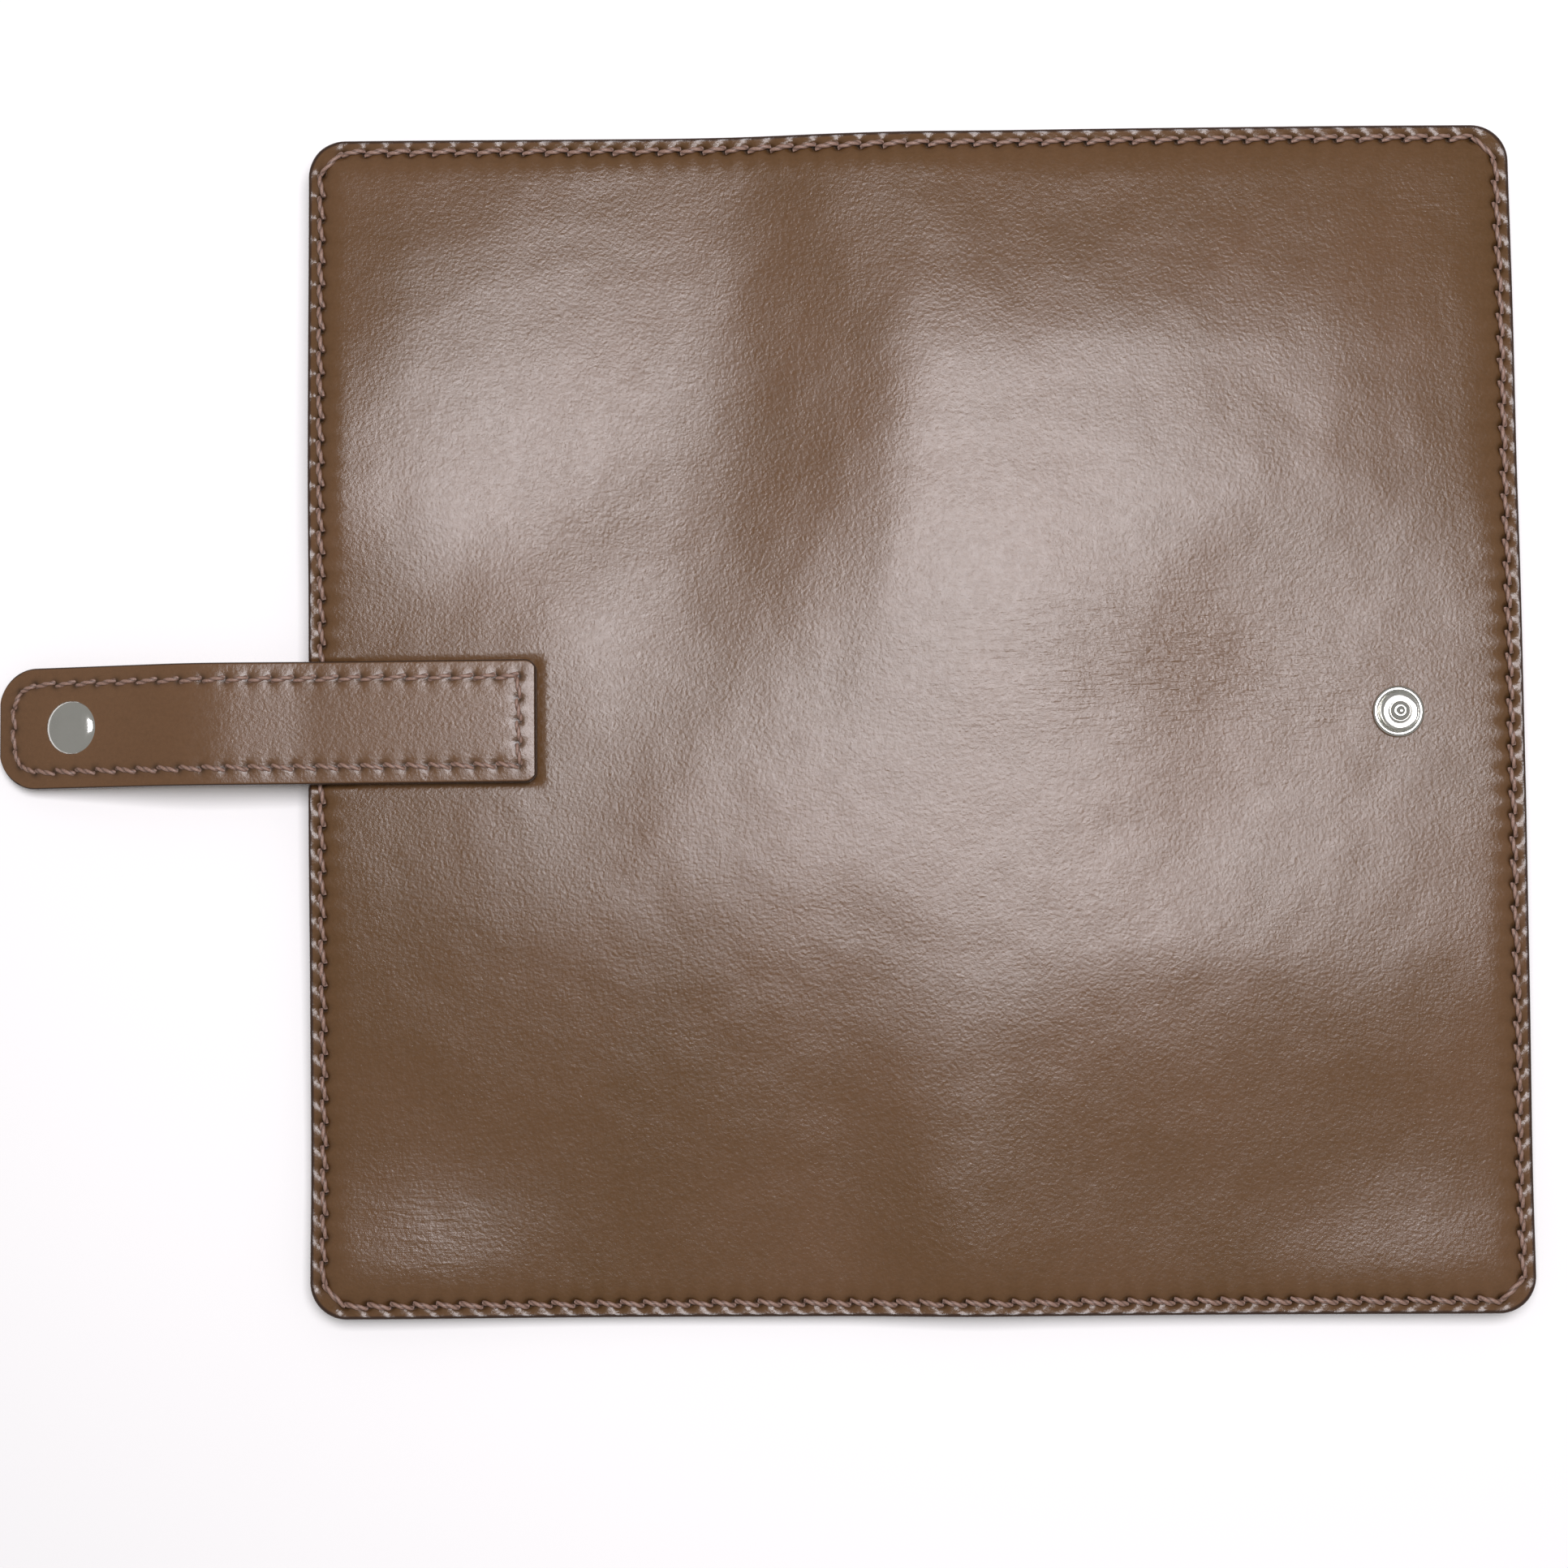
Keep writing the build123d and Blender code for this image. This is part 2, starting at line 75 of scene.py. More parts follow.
back_low, back_high = box_mm("outer_leather_back")
spine_low, spine_high = box_mm("outer_leather_spine")
SPINE = (spine_low[0] + spine_high[0]) / 2  # x of the middle of the spine
REACH = box_mm("outer_leather_front")[1][0] - SPINE  # from the spine to a free edge
HALF = back_high[1]  # from the middle to the top or bottom edge
FLAT_TOP = back_high[2]
OUTER = back_high[2] - back_low[2]
LINING = box_mm("lining_back")[1][2] - box_mm("lining_back")[0][2]
LINING_LOW = box_mm("lining_back")[0][2]

# ---------------------------------------------------------------- driving dimensions
EDGE_TOP = 6.5  # the cover's height where all layers are sewn together
EDGE_FOLLOWS = 0.75  # how much the sewn edge rises and falls with the hills beside it
CROWN = 7.2  # the cover's usual height over the pockets
CORNER = 6.0  # radius of the cover's free corners
STITCH_PITCH = 3.7
SEAM_INSET = 2.2  # from the cover's edge to its row of stitches
CORNER_CUT = 3.5  # the stitch across a corner starts this far from the corner
THREAD_RADIUS = 0.41
SLANT = 12.0  # degrees between a stitch and its seam
EDGE_ROUND = 0.45
BELOW_FLAT = 0.05  # the cover stays this far under a strap that lies on it


def smooth(x, low, high):
    t = np.clip((np.asarray(x, float) - low) / (high - low), 0, 1)
    return t * t * (3 - 2 * t)


def mound(u, v, at, size, turn=0.0):
    """A soft hill of height 1 at a place, with its two half-widths and a turn in degrees."""
    c, s = math.cos(math.radians(turn)), math.sin(math.radians(turn))
    p = ((u - at[0]) * c + (v - at[1]) * s) / size[0]
    q = ((v - at[1]) * c - (u - at[0]) * s) / size[1]
    return np.exp(-(p * p + q * q) / 2)


# ---------------------------------------------------------------- the cover's shape
def puff(u, v):
    """0 at the sewn edge and 1 over the pockets."""
    # distance from each side, and how wide the rise is there: back, front, top, bottom
    widths = (
        (REACH + u, 5.5 + 2.0 * smooth(-v, 20, 70)),
        (REACH - u, 6.5 + 3.0 * smooth(v, 15, 60)),
        (HALF - v, 5.5 + 3.0 * smooth(u, -8, 25)),
        (HALF + v, 9.0 + 5.0 * smooth(u, -70, -20) - 5.0 * smooth(u, 40, 80)),
    )
    rise = np.ones_like(u + v)
    for inset, width in widths:
        t = np.clip((inset - 0.6) / width, 0, 1)
        rise = rise * (1 - (1 - t) ** 2.1)
    return rise


def relief(u, v):
    """The soft hills and hollows of the leather between its sewn edges."""
    # a ridge along the spine, steep towards the back half and steepest near the top
    upper = smooth(v, -34, 30)
    beside = u - (0.3 + 2.3 * v / HALF)
    peak = 1.8 + 0.9 * smooth(v, -20, 35)
    depth = 1.5 * smooth(v, -12, 54)
    width = 30.0 + 30.0 * (1 - upper) ** 1.5 + 6.0 * smooth(v, 58, 2)
    rise = peak + (peak + depth) * beside / width
    fall = peak - 0.012 * beside - 0.5 * smooth(u, 30, 80)
    ridge = -np.logaddexp(-2.2 * rise, -2.2 * fall) / 2.2
    z = np.logaddexp(0, 2.4 * (ridge + depth)) / 2.4 - depth
    # the back half rises again towards its free edge, above the strap
    left_start = 34.0 + 24.0 * smooth(v, 66, 6)
    z = z + (2.2 + depth) * smooth(-u, left_start, 100) * smooth(v, -20, 36)
    # both halves fall towards the bottom edge
    z = z - 3.5 * smooth(-v, 19, 104) * smooth(u, 12, -14)
    z = z - 2.1 * smooth(-v, 36, 88) * smooth(u, -16, 40)
    # the front half falls towards the top and its free edge, the back half to its top corner
    z = z - 1.9 * smooth(v, 58, 104) * smooth(u, -18, 16)
    z = z - 1.2 * smooth(u, 66, 106) * smooth(v, 4, 46)
    z = z - 1.3 * smooth(v - u, 140, 194)
    # the two bottom corners are padded
    z = z + 1.4 * mound(u, v, (90, -93), (20, 11)) + 2.4 * mound(u, v, (-90, -93), (18, 11))
    return z


STUD = box_mm("snap_stud")
STUD_X, STUD_Y = (STUD[0][:2] + STUD[1][:2]) / 2
STRAP_END = box_mm("strap_outer_base")[1][0] - SPINE
STRAP_HALF = box_mm("strap_outer_base")[1][1]


def cover_shape(u, v):
    """Height of the cover's outer face, without the marks of the sewing.

    It is level under the stud, under the strap's sewn end and where the closed strap's tip lies.
    """
    swell = relief(u, v)
    edge = EDGE_TOP + EDGE_FOLLOWS * swell
    z = edge + (CROWN + swell - edge) * puff(u, v)
    around_stud = np.hypot(u - (STUD_X - SPINE), v - STUD_Y)
    level = smooth(around_stud, 26, 4.2)
    z = z * (1 - level) + (FLAT_TOP + 0.02) * level
    under_tip = smooth(u, 18, 64) * smooth(abs(v), 42, STRAP_HALF)
    z = z * (1 - under_tip) + (FLAT_TOP - 2 * BELOW_FLAT) * under_tip
    under_strap = smooth(u, STRAP_END + 26, STRAP_END) * smooth(abs(v), 42, STRAP_HALF)
    z = z * (1 - under_strap) + (FLAT_TOP - BELOW_FLAT) * under_strap
    # the leather is pressed down along the outline of the strap's sewn end
    from_strap = np.maximum(u - STRAP_END, abs(v) - STRAP_HALF)
    return z - 0.6 * np.exp(-(((from_strap + 0.3) / 0.5) ** 2)) * (u < STRAP_END + 6)


def run(start, end, slant, count=None):
    """Stitches of one straight seam: centres, line angles, lengths and slants."""
    start, end = np.array(start, float), np.array(end, float)
    length = np.linalg.norm(end - start)
    count = count or max(1, round(length / STITCH_PITCH))
    angle = math.degrees(math.atan2(*(end - start)[::-1]))
    middle = (np.arange(count) + 0.5)[:, None] / count
    at = start + (end - start) * middle
    rows = np.full((count, 3), (angle, length / count, slant))
    return np.hstack([at, rows])


def holes_of(stitches):
    """The two ends of each stitch, as place and line angle."""
    turn = np.radians(stitches[:, 2])
    step = np.stack([np.cos(turn), np.sin(turn)], 1) * stitches[:, 3:4] / 2
    ends = np.vstack([stitches[:, :2] - step, stitches[:, :2] + step])
    return np.hstack([ends, np.tile(stitches[:, 2], 2)[:, None]])


def half_seam(side):
    """The stitches round one half of the cover, in distance from the spine and height."""
    row = HALF - SEAM_INSET
    line = REACH - SEAM_INSET
    return np.vstack([
        run((0, row), (side * (line - CORNER_CUT), row), SLANT),
        run((side * (line - CORNER_CUT), row), (side * line, row - CORNER_CUT), 0),
        run((side * line, row - CORNER_CUT), (side * line, CORNER_CUT - row), SLANT),
        run((side * line, CORNER_CUT - row), (side * (line - CORNER_CUT), -row), 0),
        run((side * (line - CORNER_CUT), -row), (0, -row), -SLANT),
    ])


def sewing(u, v, holes, reach=6.0):
    """(height change, darkness) that the stitches press into a surface; the darkness is painted
    shade in the holes and the grooves between them.
    """
    height = np.zeros(len(u))
    dark = np.zeros(len(u))
    for x, y, angle in holes:
        near = np.flatnonzero((abs(u - x) < reach) & (abs(v - y) < reach))
        if not len(near):
            continue
        c, s = math.cos(math.radians(angle)), math.sin(math.radians(angle))
        along = (u[near] - x) * c + (v[near] - y) * s
        aside = (v[near] - y) * c - (u[near] - x) * s
        pit = np.exp(-(along / 0.42) ** 2 / 2 - (aside / 0.5) ** 2 / 2)
        pinch = np.exp(-(along / 0.75) ** 2 / 2 - (aside / 1.35) ** 2 / 2)
        groove = np.exp(-(along / 1.3) ** 2 / 2 - (aside / 0.6) ** 2 / 2)
        height[near] -= 0.38 * pit + 0.17 * pinch + 0.12 * groove
        # the darkness is painted shade in the hole and its groove
        dark[near] = np.maximum(dark[near], pit + 0.25 * groove)
    return height, np.clip(dark, 0, 1)


# ---------------------------------------------------------------- mesh making
def make_piece(name, points, faces, material, attributes=None, split=(), flat=False):
    """A mesh object. split lists the faces that don't share their corners with the others."""
    points = np.asarray(points, float)
    attributes = attributes or {}
    if len(split):
        used = sorted({number for face in split for number in faces[face]})
        copy = {number: len(points) + i for i, number in enumerate(used)}
        faces = list(faces)
        for face in split:
            faces[face] = [copy[number] for number in faces[face]]
        points = np.vstack([points, points[used]])
        attributes = {
            key: np.concatenate([values, np.asarray(values)[used]])
            for key, values in attributes.items()
        }
    mesh = bpy.data.meshes.new(name)
    mesh.from_pydata((points * MM).tolist(), [], faces)
    mesh.validate()
    mesh.polygons.foreach_set("use_smooth", np.full(len(mesh.polygons), not flat))
    rest = mesh.attributes.new("rest", "FLOAT_VECTOR", "POINT")
    rest.data.foreach_set("vector", np.asarray(points, np.float32).ravel())
    for label, values in attributes.items():
        layer = mesh.attributes.new(label, "FLOAT", "POINT")
        layer.data.foreach_set("value", np.asarray(values, np.float32))
    mesh.materials.append(material)
    obj = bpy.data.objects.new(name, mesh)
    bpy.context.scene.collection.objects.link(obj)
    return obj


def strip_faces(first, second, flip=False):
    """Quads between two rows of vertex numbers."""
    quads = [
        (first[i], first[i + 1], second[i + 1], second[i]) for i in range(len(first) - 1)
    ]
    return [quad[::-1] for quad in quads] if flip else quads


def half_path(side, inner, inset, spacing):
    """A line round the three free sides of one half at an inset, from top to bottom."""
    radius = max(CORNER - 0.6 * inset, 1.0)
    reach, half = REACH - inset, HALF - inset
    across = max(2, round((REACH - inner) / spacing))
    down = max(2, round(2 * HALF / spacing))
    turn = np.linspace(90, 0, 15)[1:-1] * math.pi / 180
    top = np.stack([np.linspace(inner, reach - radius, across), np.full(across, half)], 1)
    arc = np.stack(
        [reach - radius + radius * np.cos(turn), half - radius + radius * np.sin(turn)], 1
    )
    rows = half - radius
    edge = np.stack([np.full(down, reach), np.linspace(rows, -rows, down)], 1)
    flipped = (1, -1)
    path = np.vstack([top, arc, edge, arc[::-1] * flipped, top[::-1] * flipped])
    return path * (side, 1)


def fill_inside(path, step, first):
    """Points and triangles that fill the area inside a path whose ends lie on the cut."""
    low, high = path.min(0), path.max(0)
    count = max(2, round((high[1] - low[1]) / step))
    cut_x = path[0, 0]
    cut = np.stack(
        [np.full(count - 1, cut_x), np.linspace(path[-1, 1], path[0, 1], count + 1)[1:-1]], 1
    )
    ring = np.vstack([path, cut])
    xs = np.arange(low[0] + step, high[0] - step * 0.4, step)
    ys = np.arange(low[1] + step, high[1] - step * 0.4, step * 0.9)
    grid = np.array([
        (x + (row % 2) * step / 2, y) for row, y in enumerate(ys) for x in xs
    ])
    margin = step * 0.62
    inside = (grid[:, 0] > low[0] + margin) & (grid[:, 0] < high[0] - margin)
    grid = grid[inside]
    points = np.vstack([ring, grid])
    edges = [(i, (i + 1) % len(ring)) for i in range(len(ring))]
    out = delaunay_2d_cdt([Vector(p) for p in points], edges, [], 1, 1e-4)
    kept = {}
    for new, originals in enumerate(out[3]):
        if originals:
            kept[new] = originals[0]
    triangles = [[kept[i] for i in face] for face in out[2] if all(i in kept for i in face)]
    extra = points[len(path):]
    return extra, triangles, list(range(first, first + len(cut)))


def cover_half(name, side, seam, material):
    """One half of the cover from its free sides to a cut down the middle of the spine.

    Rows of points run round the free sides: over the top face from the inside outwards, round
    the edge, and back in underneath. Triangles fill the middle of both faces.
    """
    insets = (0.7, 0.95, 1.25, 1.55, 1.85, 2.1, 2.35, 2.6, 2.9, 3.25, 3.7, 4.3, 5.1, 6.2, 7.6)
    loops = []
    for step in range(9):
        angle = math.radians(step * 22.5)
        drop = EDGE_ROUND * (1 - abs(math.cos(angle)))
        inset = EDGE_ROUND * (1 - math.sin(angle))
        loops.append((inset, step <= 4, drop))
    rim_rows = [(inset, True, 0.0) for inset in reversed(insets)] + loops
    rim_rows += [(inset, False, 0.0) for inset in (1.5, 4.0, 7.6)]
    points, faces, rows, top_flag, inset_of, drop_of = [], [], [], [], [], []
    for inset, is_top, drop in rim_rows:
        path = half_path(side, 0.0, inset, 0.42)
        start = sum(len(p) for p in points)
        rows.append(list(range(start, start + len(path))))
        points.append(path)
        top_flag.append(np.full(len(path), is_top))
        inset_of.append(np.full(len(path), inset))
        drop_of.append(np.full(len(path), drop))
    for first, second in zip(rows, rows[1:]):
        faces += strip_faces(first, second, flip=side < 0)
    chains = []
    for row, is_top, step in ((rows[0], True, 1.05), (rows[-1], False, 3.4)):
        start = sum(len(p) for p in points)
        path = points[rows.index(row)]
        extra, triangles, cut = fill_inside(path, step, start)
        numbers = row + list(range(start, start + len(extra)))
        flip = not is_top
        for triangle in triangles:
            corners = [numbers[i] for i in triangle]
            faces.append(corners[::-1] if flip else corners)
        points.append(extra)
        top_flag.append(np.full(len(extra), is_top))
        inset_of.append(np.full(len(extra), 9.0))
        drop_of.append(np.zeros(len(extra)))
        chains.append(cut)
    flat = np.vstack(points)
    u, v = flat[:, 0], flat[:, 1]
    is_top = np.concatenate(top_flag)
    inset = np.concatenate(inset_of)
    drop = np.concatenate(drop_of)
    base = cover_shape(u, v)
    marks, dark = sewing(u, v, holes_of(seam))
    marks *= smooth(inset, 0.1, 0.9)
    z = np.where(is_top, base + marks - drop, base - OUTER + drop)
    # the cut down the spine: the row ends, then the fill's own cut points
    top_rows = [row for row, (_, row_top, _) in zip(rows, rim_rows) if row_top]
    low_rows = [row for row, (_, row_top, _) in zip(rows, rim_rows) if not row_top]
    top_chain = [r[-1] for r in top_rows[::-1]] + chains[0] + [r[0] for r in top_rows]
    low_chain = [r[-1] for r in low_rows] + chains[1] + [r[0] for r in low_rows[::-1]]
    i = j = 0
    before_cut = len(faces)
    while i < len(top_chain) - 1 or j < len(low_chain) - 1:
        next_top = v[top_chain[i + 1]] if i < len(top_chain) - 1 else math.inf
        next_low = v[low_chain[j + 1]] if j < len(low_chain) - 1 else math.inf
        if next_top <= next_low:
            face = (top_chain[i], top_chain[i + 1], low_chain[j])
            i += 1
        else:
            face = (top_chain[i], low_chain[j + 1], low_chain[j])
            j += 1
        faces.append(face if side > 0 else face[::-1])
    attributes = {
        "edge": np.where(inset < 0.5, 1.0, np.where(is_top, 0.0, 0.2)),
        "seam": dark * is_top,
        # painted shade in the stitch holes
        "crease": is_top * creases(u, v),
    }
    return make_piece(
        name, np.stack([SPINE + u, v, z], 1), faces, material, attributes,
        range(before_cut, len(faces)),
    )


def creases(u, v):
    """Where the leather is wrinkled: the front's middle and two corners."""
    mask = 0.6 * mound(u, v, (44, 8), (26, 9), -6)
    mask = np.maximum(mask, 0.3 * mound(u, v, (88, 82), (9, 7), -40))
    mask = np.maximum(mask, 0.35 * mound(u, v, (-84, -80), (11, 7), -35))
    return np.clip(mask, 0, 1)


def graded(low, high, step, fine=(0.0, 0.08, 0.22, 0.45, 0.9)):
    """Places between two ends, close together near both ends."""
    fine = np.array(fine)
    inner = np.linspace(low + fine[-1], high - fine[-1], max(2, round((high - low) / step)))
    return np.concatenate([low + fine[:-1], inner, (high - fine[:-1])[::-1]])


def sheet(name, a, b, low, high, place, material, attributes=None, rounding=None,
          cuts=(False, False)):
    """A closed sheet. a and b are grids of places, low and high its faces' heights.

    cuts says whether its first and last row meet another piece, and so stay square.
    """
    thick = float(np.min(high - low))
    rounding = rounding or min(0.4, thick * 0.48)
    rows, columns = a.shape
    from_first = 9.0 if cuts[0] else abs(a - a[:1])
    from_last = 9.0 if cuts[1] else abs(a[-1:] - a)
    from_a = np.minimum(from_first, from_last)
    from_b = np.minimum(abs(b - b[:, :1]), abs(b[:, -1:] - b))
    gap = np.minimum(from_a, from_b)
    t = np.clip(1 - gap / rounding, 0, 1)
    drop = rounding * (1 - np.sqrt(1 - t * t))
    top = place(a, b, high - drop).reshape(-1, 3)
    bottom = place(a, b, low + drop).reshape(-1, 3)
    number = np.arange(rows * columns).reshape(rows, columns)
    faces = np.stack(
        [number[:-1, :-1], number[1:, :-1], number[1:, 1:], number[:-1, 1:]], -1
    ).reshape(-1, 4)
    under = faces[:, ::-1] + rows * columns
    ring = np.concatenate([
        number[:, 0], number[-1, 1:], number[::-1, -1][1:], number[0, ::-1][1:]
    ])
    low_ring = ring + rows * columns
    wall = np.stack([ring[1:], ring[:-1], low_ring[:-1], low_ring[1:]], 1)
    points = np.vstack([top, bottom])
    extra = {
        "edge": np.tile((gap < rounding * 0.8).ravel().astype(float), 2),
        "seam": np.zeros(len(points)),
        "crease": np.zeros(len(points)),
    }
    extra.update(attributes or {})
    every = np.vstack([faces, under, wall]).tolist()
    walls = 2 * len(faces) + rows - 1
    split = list(range(walls, walls + columns - 1)) if cuts[1] else []
    if cuts[0]:
        split += list(range(len(every) - columns + 1, len(every)))
    obj = make_piece(name, points, every, material, extra, split)
    turn_outwards(obj)
    return obj


def turn_outwards(obj):
    """Makes a closed mesh's faces look outwards."""
    mesh = obj.data
    count = len(mesh.polygons)
    centre = np.zeros(count * 3)
    normal = np.zeros(count * 3)
    area = np.zeros(count)
    mesh.polygons.foreach_get("center", centre)
    mesh.polygons.foreach_get("normal", normal)
    mesh.polygons.foreach_get("area", area)
    volume = (centre.reshape(-1, 3) * normal.reshape(-1, 3)).sum(1) @ area
    if volume < 0:
        mesh.flip_normals()


def rounded_grid(inner, outer, half, corner, step, round_inner=False):
    """Grids of distance and height for one half's sheet with rounded free corners."""
    t = graded(inner, outer, step)
    extra = outer - corner * (1 - np.cos(np.linspace(0, math.pi / 2, 9)[1:]))
    t = np.unique(np.concatenate([t[t < outer - corner], extra, t[t > outer - 0.5]]).round(4))
    near = np.clip(t - (outer - corner), 0, corner)
    shrink = corner - np.sqrt(np.maximum(corner**2 - near**2, 0))
    if round_inner:
        close = np.clip(inner + corner - t, 0, corner)
        shrink = np.maximum(shrink, corner - np.sqrt(np.maximum(corner**2 - close**2, 0)))
    v = graded(-half, half, step)
    grid_t, grid_v = np.meshgrid(t, v, indexing="ij")
    return grid_t, grid_v * (half - shrink)[:, None] / half


# ---------------------------------------------------------------- the inner layers' heights
ZIPPER_TOP = box_mm("zipper_slider_body")[1][2] + 0.05  # the slider passes below this


def lining_low(u, v):
    return cover_shape(u, v) - OUTER - LINING - 0.04


def layer_height(u, v, z):
    """Height of an inner layer that lies at z over the pockets and is pinched at the edge."""
    inset = np.minimum(REACH - abs(u), HALF - abs(v))
    most = 1.0 + 0.4 * smooth(inset, 14.0, 6.0)
    room = lining_low(u, v) - 0.1
    pinched = z * np.clip(room / LINING_LOW, 0.3, most)
    upper_share = np.clip((room - ZIPPER_TOP) / (LINING_LOW - ZIPPER_TOP), 0.12, most)
    over_pocket = np.minimum(z, ZIPPER_TOP) + np.maximum(z - ZIPPER_TOP, 0) * upper_share
    near_edge = smooth(inset, 22.0, 12.0)
    at = pinched * near_edge + over_pocket * (1 - near_edge)
    return at + 0.6 * smooth(inset, 8.0, 3.4)


def in_frame(side):
    def place(t, v, z):
        return np.stack([SPINE + side * t, v, z], -1)
    return place


def pocket_sheet(name, side, inner, outer, low, high, material, step=2.4, corner=CORNER):
    t, v = rounded_grid(inner, outer, HALF, corner, step)
    bottom = layer_height(side * t, v, low)
    top = layer_height(side * t, v, high)
    return sheet(name, t, v, bottom, top, in_frame(side), material)


# ---------------------------------------------------------------- threads
UNDER_THREAD = 0.58  # height of the seam's threads on the inner side
FINE = {"around": 12, "along": 15}
COARSE = {"around": 8, "along": 9}


def twisted_threads(name, centres, directions, normals, lengths, material, around, along,
                    radius=THREAD_RADIUS, depth=0.42):
    """Short two-ply stitches that rise out of one hole and dive into the next."""
    count = len(centres)
    t = np.linspace(0, 1, along)
    swing = rng.uniform(0, math.pi, count)
    plump = radius * rng.uniform(0.94, 1.06, count)
    arch = np.clip(np.sin(math.pi * t), 0, 1) ** 0.45
    reach = (lengths[:, None] / 2 + 0.12) * (2 * t - 1)[None]
    lift = (-depth + (depth + 0.16) * arch)[None].repeat(count, 0)
    lateral = np.cross(normals, directions)
    spine = (
        centres[:, None]
        + directions[:, None] * reach[..., None]
        + normals[:, None] * lift[..., None]
    )
    theta = np.linspace(0, 2 * math.pi, around, endpoint=False)
    twist = 2 * math.pi * 1.15 * t
    lobes = np.cos(theta[None, None] * 2 - 2 * twist[None, :, None] + swing[:, None, None])
    size = plump[:, None, None] * (1 + 0.17 * lobes)
    size = size * (0.72 + 0.28 * arch)[None, :, None]
    points = (
        spine[:, :, None]
        + lateral[:, None, None] * (size * np.cos(theta))[..., None]
        + normals[:, None, None] * (size * np.sin(theta) * 0.92)[..., None]
    )
    ply = (1 + lobes) / 2
    per_stitch = along * around
    base = np.arange(per_stitch).reshape(along, around)
    following = np.roll(base, -1, 1)
    quads = np.stack([base[:-1], base[1:], following[1:], following[:-1]], -1).reshape(-1, 4)
    caps = [base[0][::-1].tolist(), base[-1].tolist()]
    faces = []
    for k in range(count):
        faces += (quads + k * per_stitch).tolist()
        faces += [[i + k * per_stitch for i in cap] for cap in caps]
    return make_piece(
        name, points.reshape(-1, 3), faces, material, {"ply": ply.ravel()}
    )


def cover_threads(name, seam, material, under=False):
    """The stitches round one half of the cover, on its outer or its inner side."""
    turn = np.radians(seam[:, 2] + seam[:, 4] * (-1 if under else 1))
    u, v = seam[:, 0], seam[:, 1]
    flat = np.stack([np.cos(turn), np.sin(turn)], 1)
    ahead = cover_shape(*(seam[:, :2] + flat * 0.8).T)
    behind = cover_shape(*(seam[:, :2] - flat * 0.8).T)
    slope = (ahead - behind) / 1.6
    if under:
        z = np.full(len(u), UNDER_THREAD)
        slope = slope * 0
    else:
        z = cover_shape(u, v) - 0.06
    direction = np.column_stack([flat, slope])
    direction /= np.linalg.norm(direction, axis=1)[:, None]
    sideways = np.column_stack([-flat[:, 1], flat[:, 0], np.zeros(len(u))])
    step = 0.5
    out = seam[:, :2] + sideways[:, :2] * step
    back = seam[:, :2] - sideways[:, :2] * step
    if not under:
        sideways[:, 2] = (cover_shape(*out.T) - cover_shape(*back.T)) / (2 * step)
    normal = np.cross(direction, sideways)
    normal /= np.linalg.norm(normal, axis=1)[:, None]
    if under:
        normal = -normal
    centres = np.column_stack([SPINE + u, v, z])
    lengths = seam[:, 3]
    detail = COARSE if under else FINE
    return twisted_threads(name, centres, direction, normal, lengths, material, **detail)


# ---------------------------------------------------------------- materials
class Shader:
    """A small helper that builds one material's nodes."""

    def __init__(self, name):
        self.material = bpy.data.materials.new(name)
        self.material.use_nodes = True
        self.tree = self.material.node_tree
        self.surface = self.tree.nodes["Principled BSDF"]

    def node(self, kind, inputs=None, **settings):
        made = self.tree.nodes.new(kind)
        for key, value in settings.items():
            setattr(made, key, value)
        for key, value in (inputs or {}).items():
            self.feed(made.inputs[key], value)
        return made

    def feed(self, socket, value):
        if isinstance(value, bpy.types.NodeSocket):
            self.tree.links.new(value, socket)
        else:
            socket.default_value = value

    def attribute(self, name, output="Fac"):
        return self.node("ShaderNodeAttribute", attribute_name=name).outputs[output]

    def rest(self, stretch=(1, 1, 1)):
        vector = self.attribute("rest", "Vector")
        if stretch == (1, 1, 1):
            return vector
        made = self.node("ShaderNodeVectorMath", {0: vector, 1: stretch}, operation="MULTIPLY")
        return made.outputs[0]

    def noise(self, vector, scale, detail=2.0, rough=0.5):
        made = self.node("ShaderNodeTexNoise", {
            "Vector": vector, "Scale": scale, "Detail": detail, "Roughness": rough,
        })
        return made.outputs["Fac"]

    def calc(self, operation, a, b=0.0, clamp=False):
        made = self.node("ShaderNodeMath", {0: a, 1: b}, operation=operation, use_clamp=clamp)
        return made.outputs[0]

    def spread(self, value, low, high, out_low=0.0, out_high=1.0):
        made = self.node("ShaderNodeMapRange", {
            "Value": value, "From Min": low, "From Max": high,
            "To Min": out_low, "To Max": out_high,
        })
        return made.outputs["Result"]

    def mix(self, factor, a, b, blend="MIX"):
        made = self.node("ShaderNodeMix", data_type="RGBA", blend_type=blend)
        self.feed(made.inputs[0], factor)
        self.feed(made.inputs[6], a)
        self.feed(made.inputs[7], b)
        return made.outputs[2]

    def bump(self, height, distance, strength=1.0, normal=None):
        inputs = {"Height": height, "Distance": distance * MM, "Strength": strength}
        if normal is not None:
            inputs["Normal"] = normal
        return self.node("ShaderNodeBump", inputs).outputs[0]

    def set(self, **values):
        for key, value in values.items():
            self.feed(self.surface.inputs[key.replace("_", " ")], value)


def colour(red, green, blue):
    return (red, green, blue, 1.0)


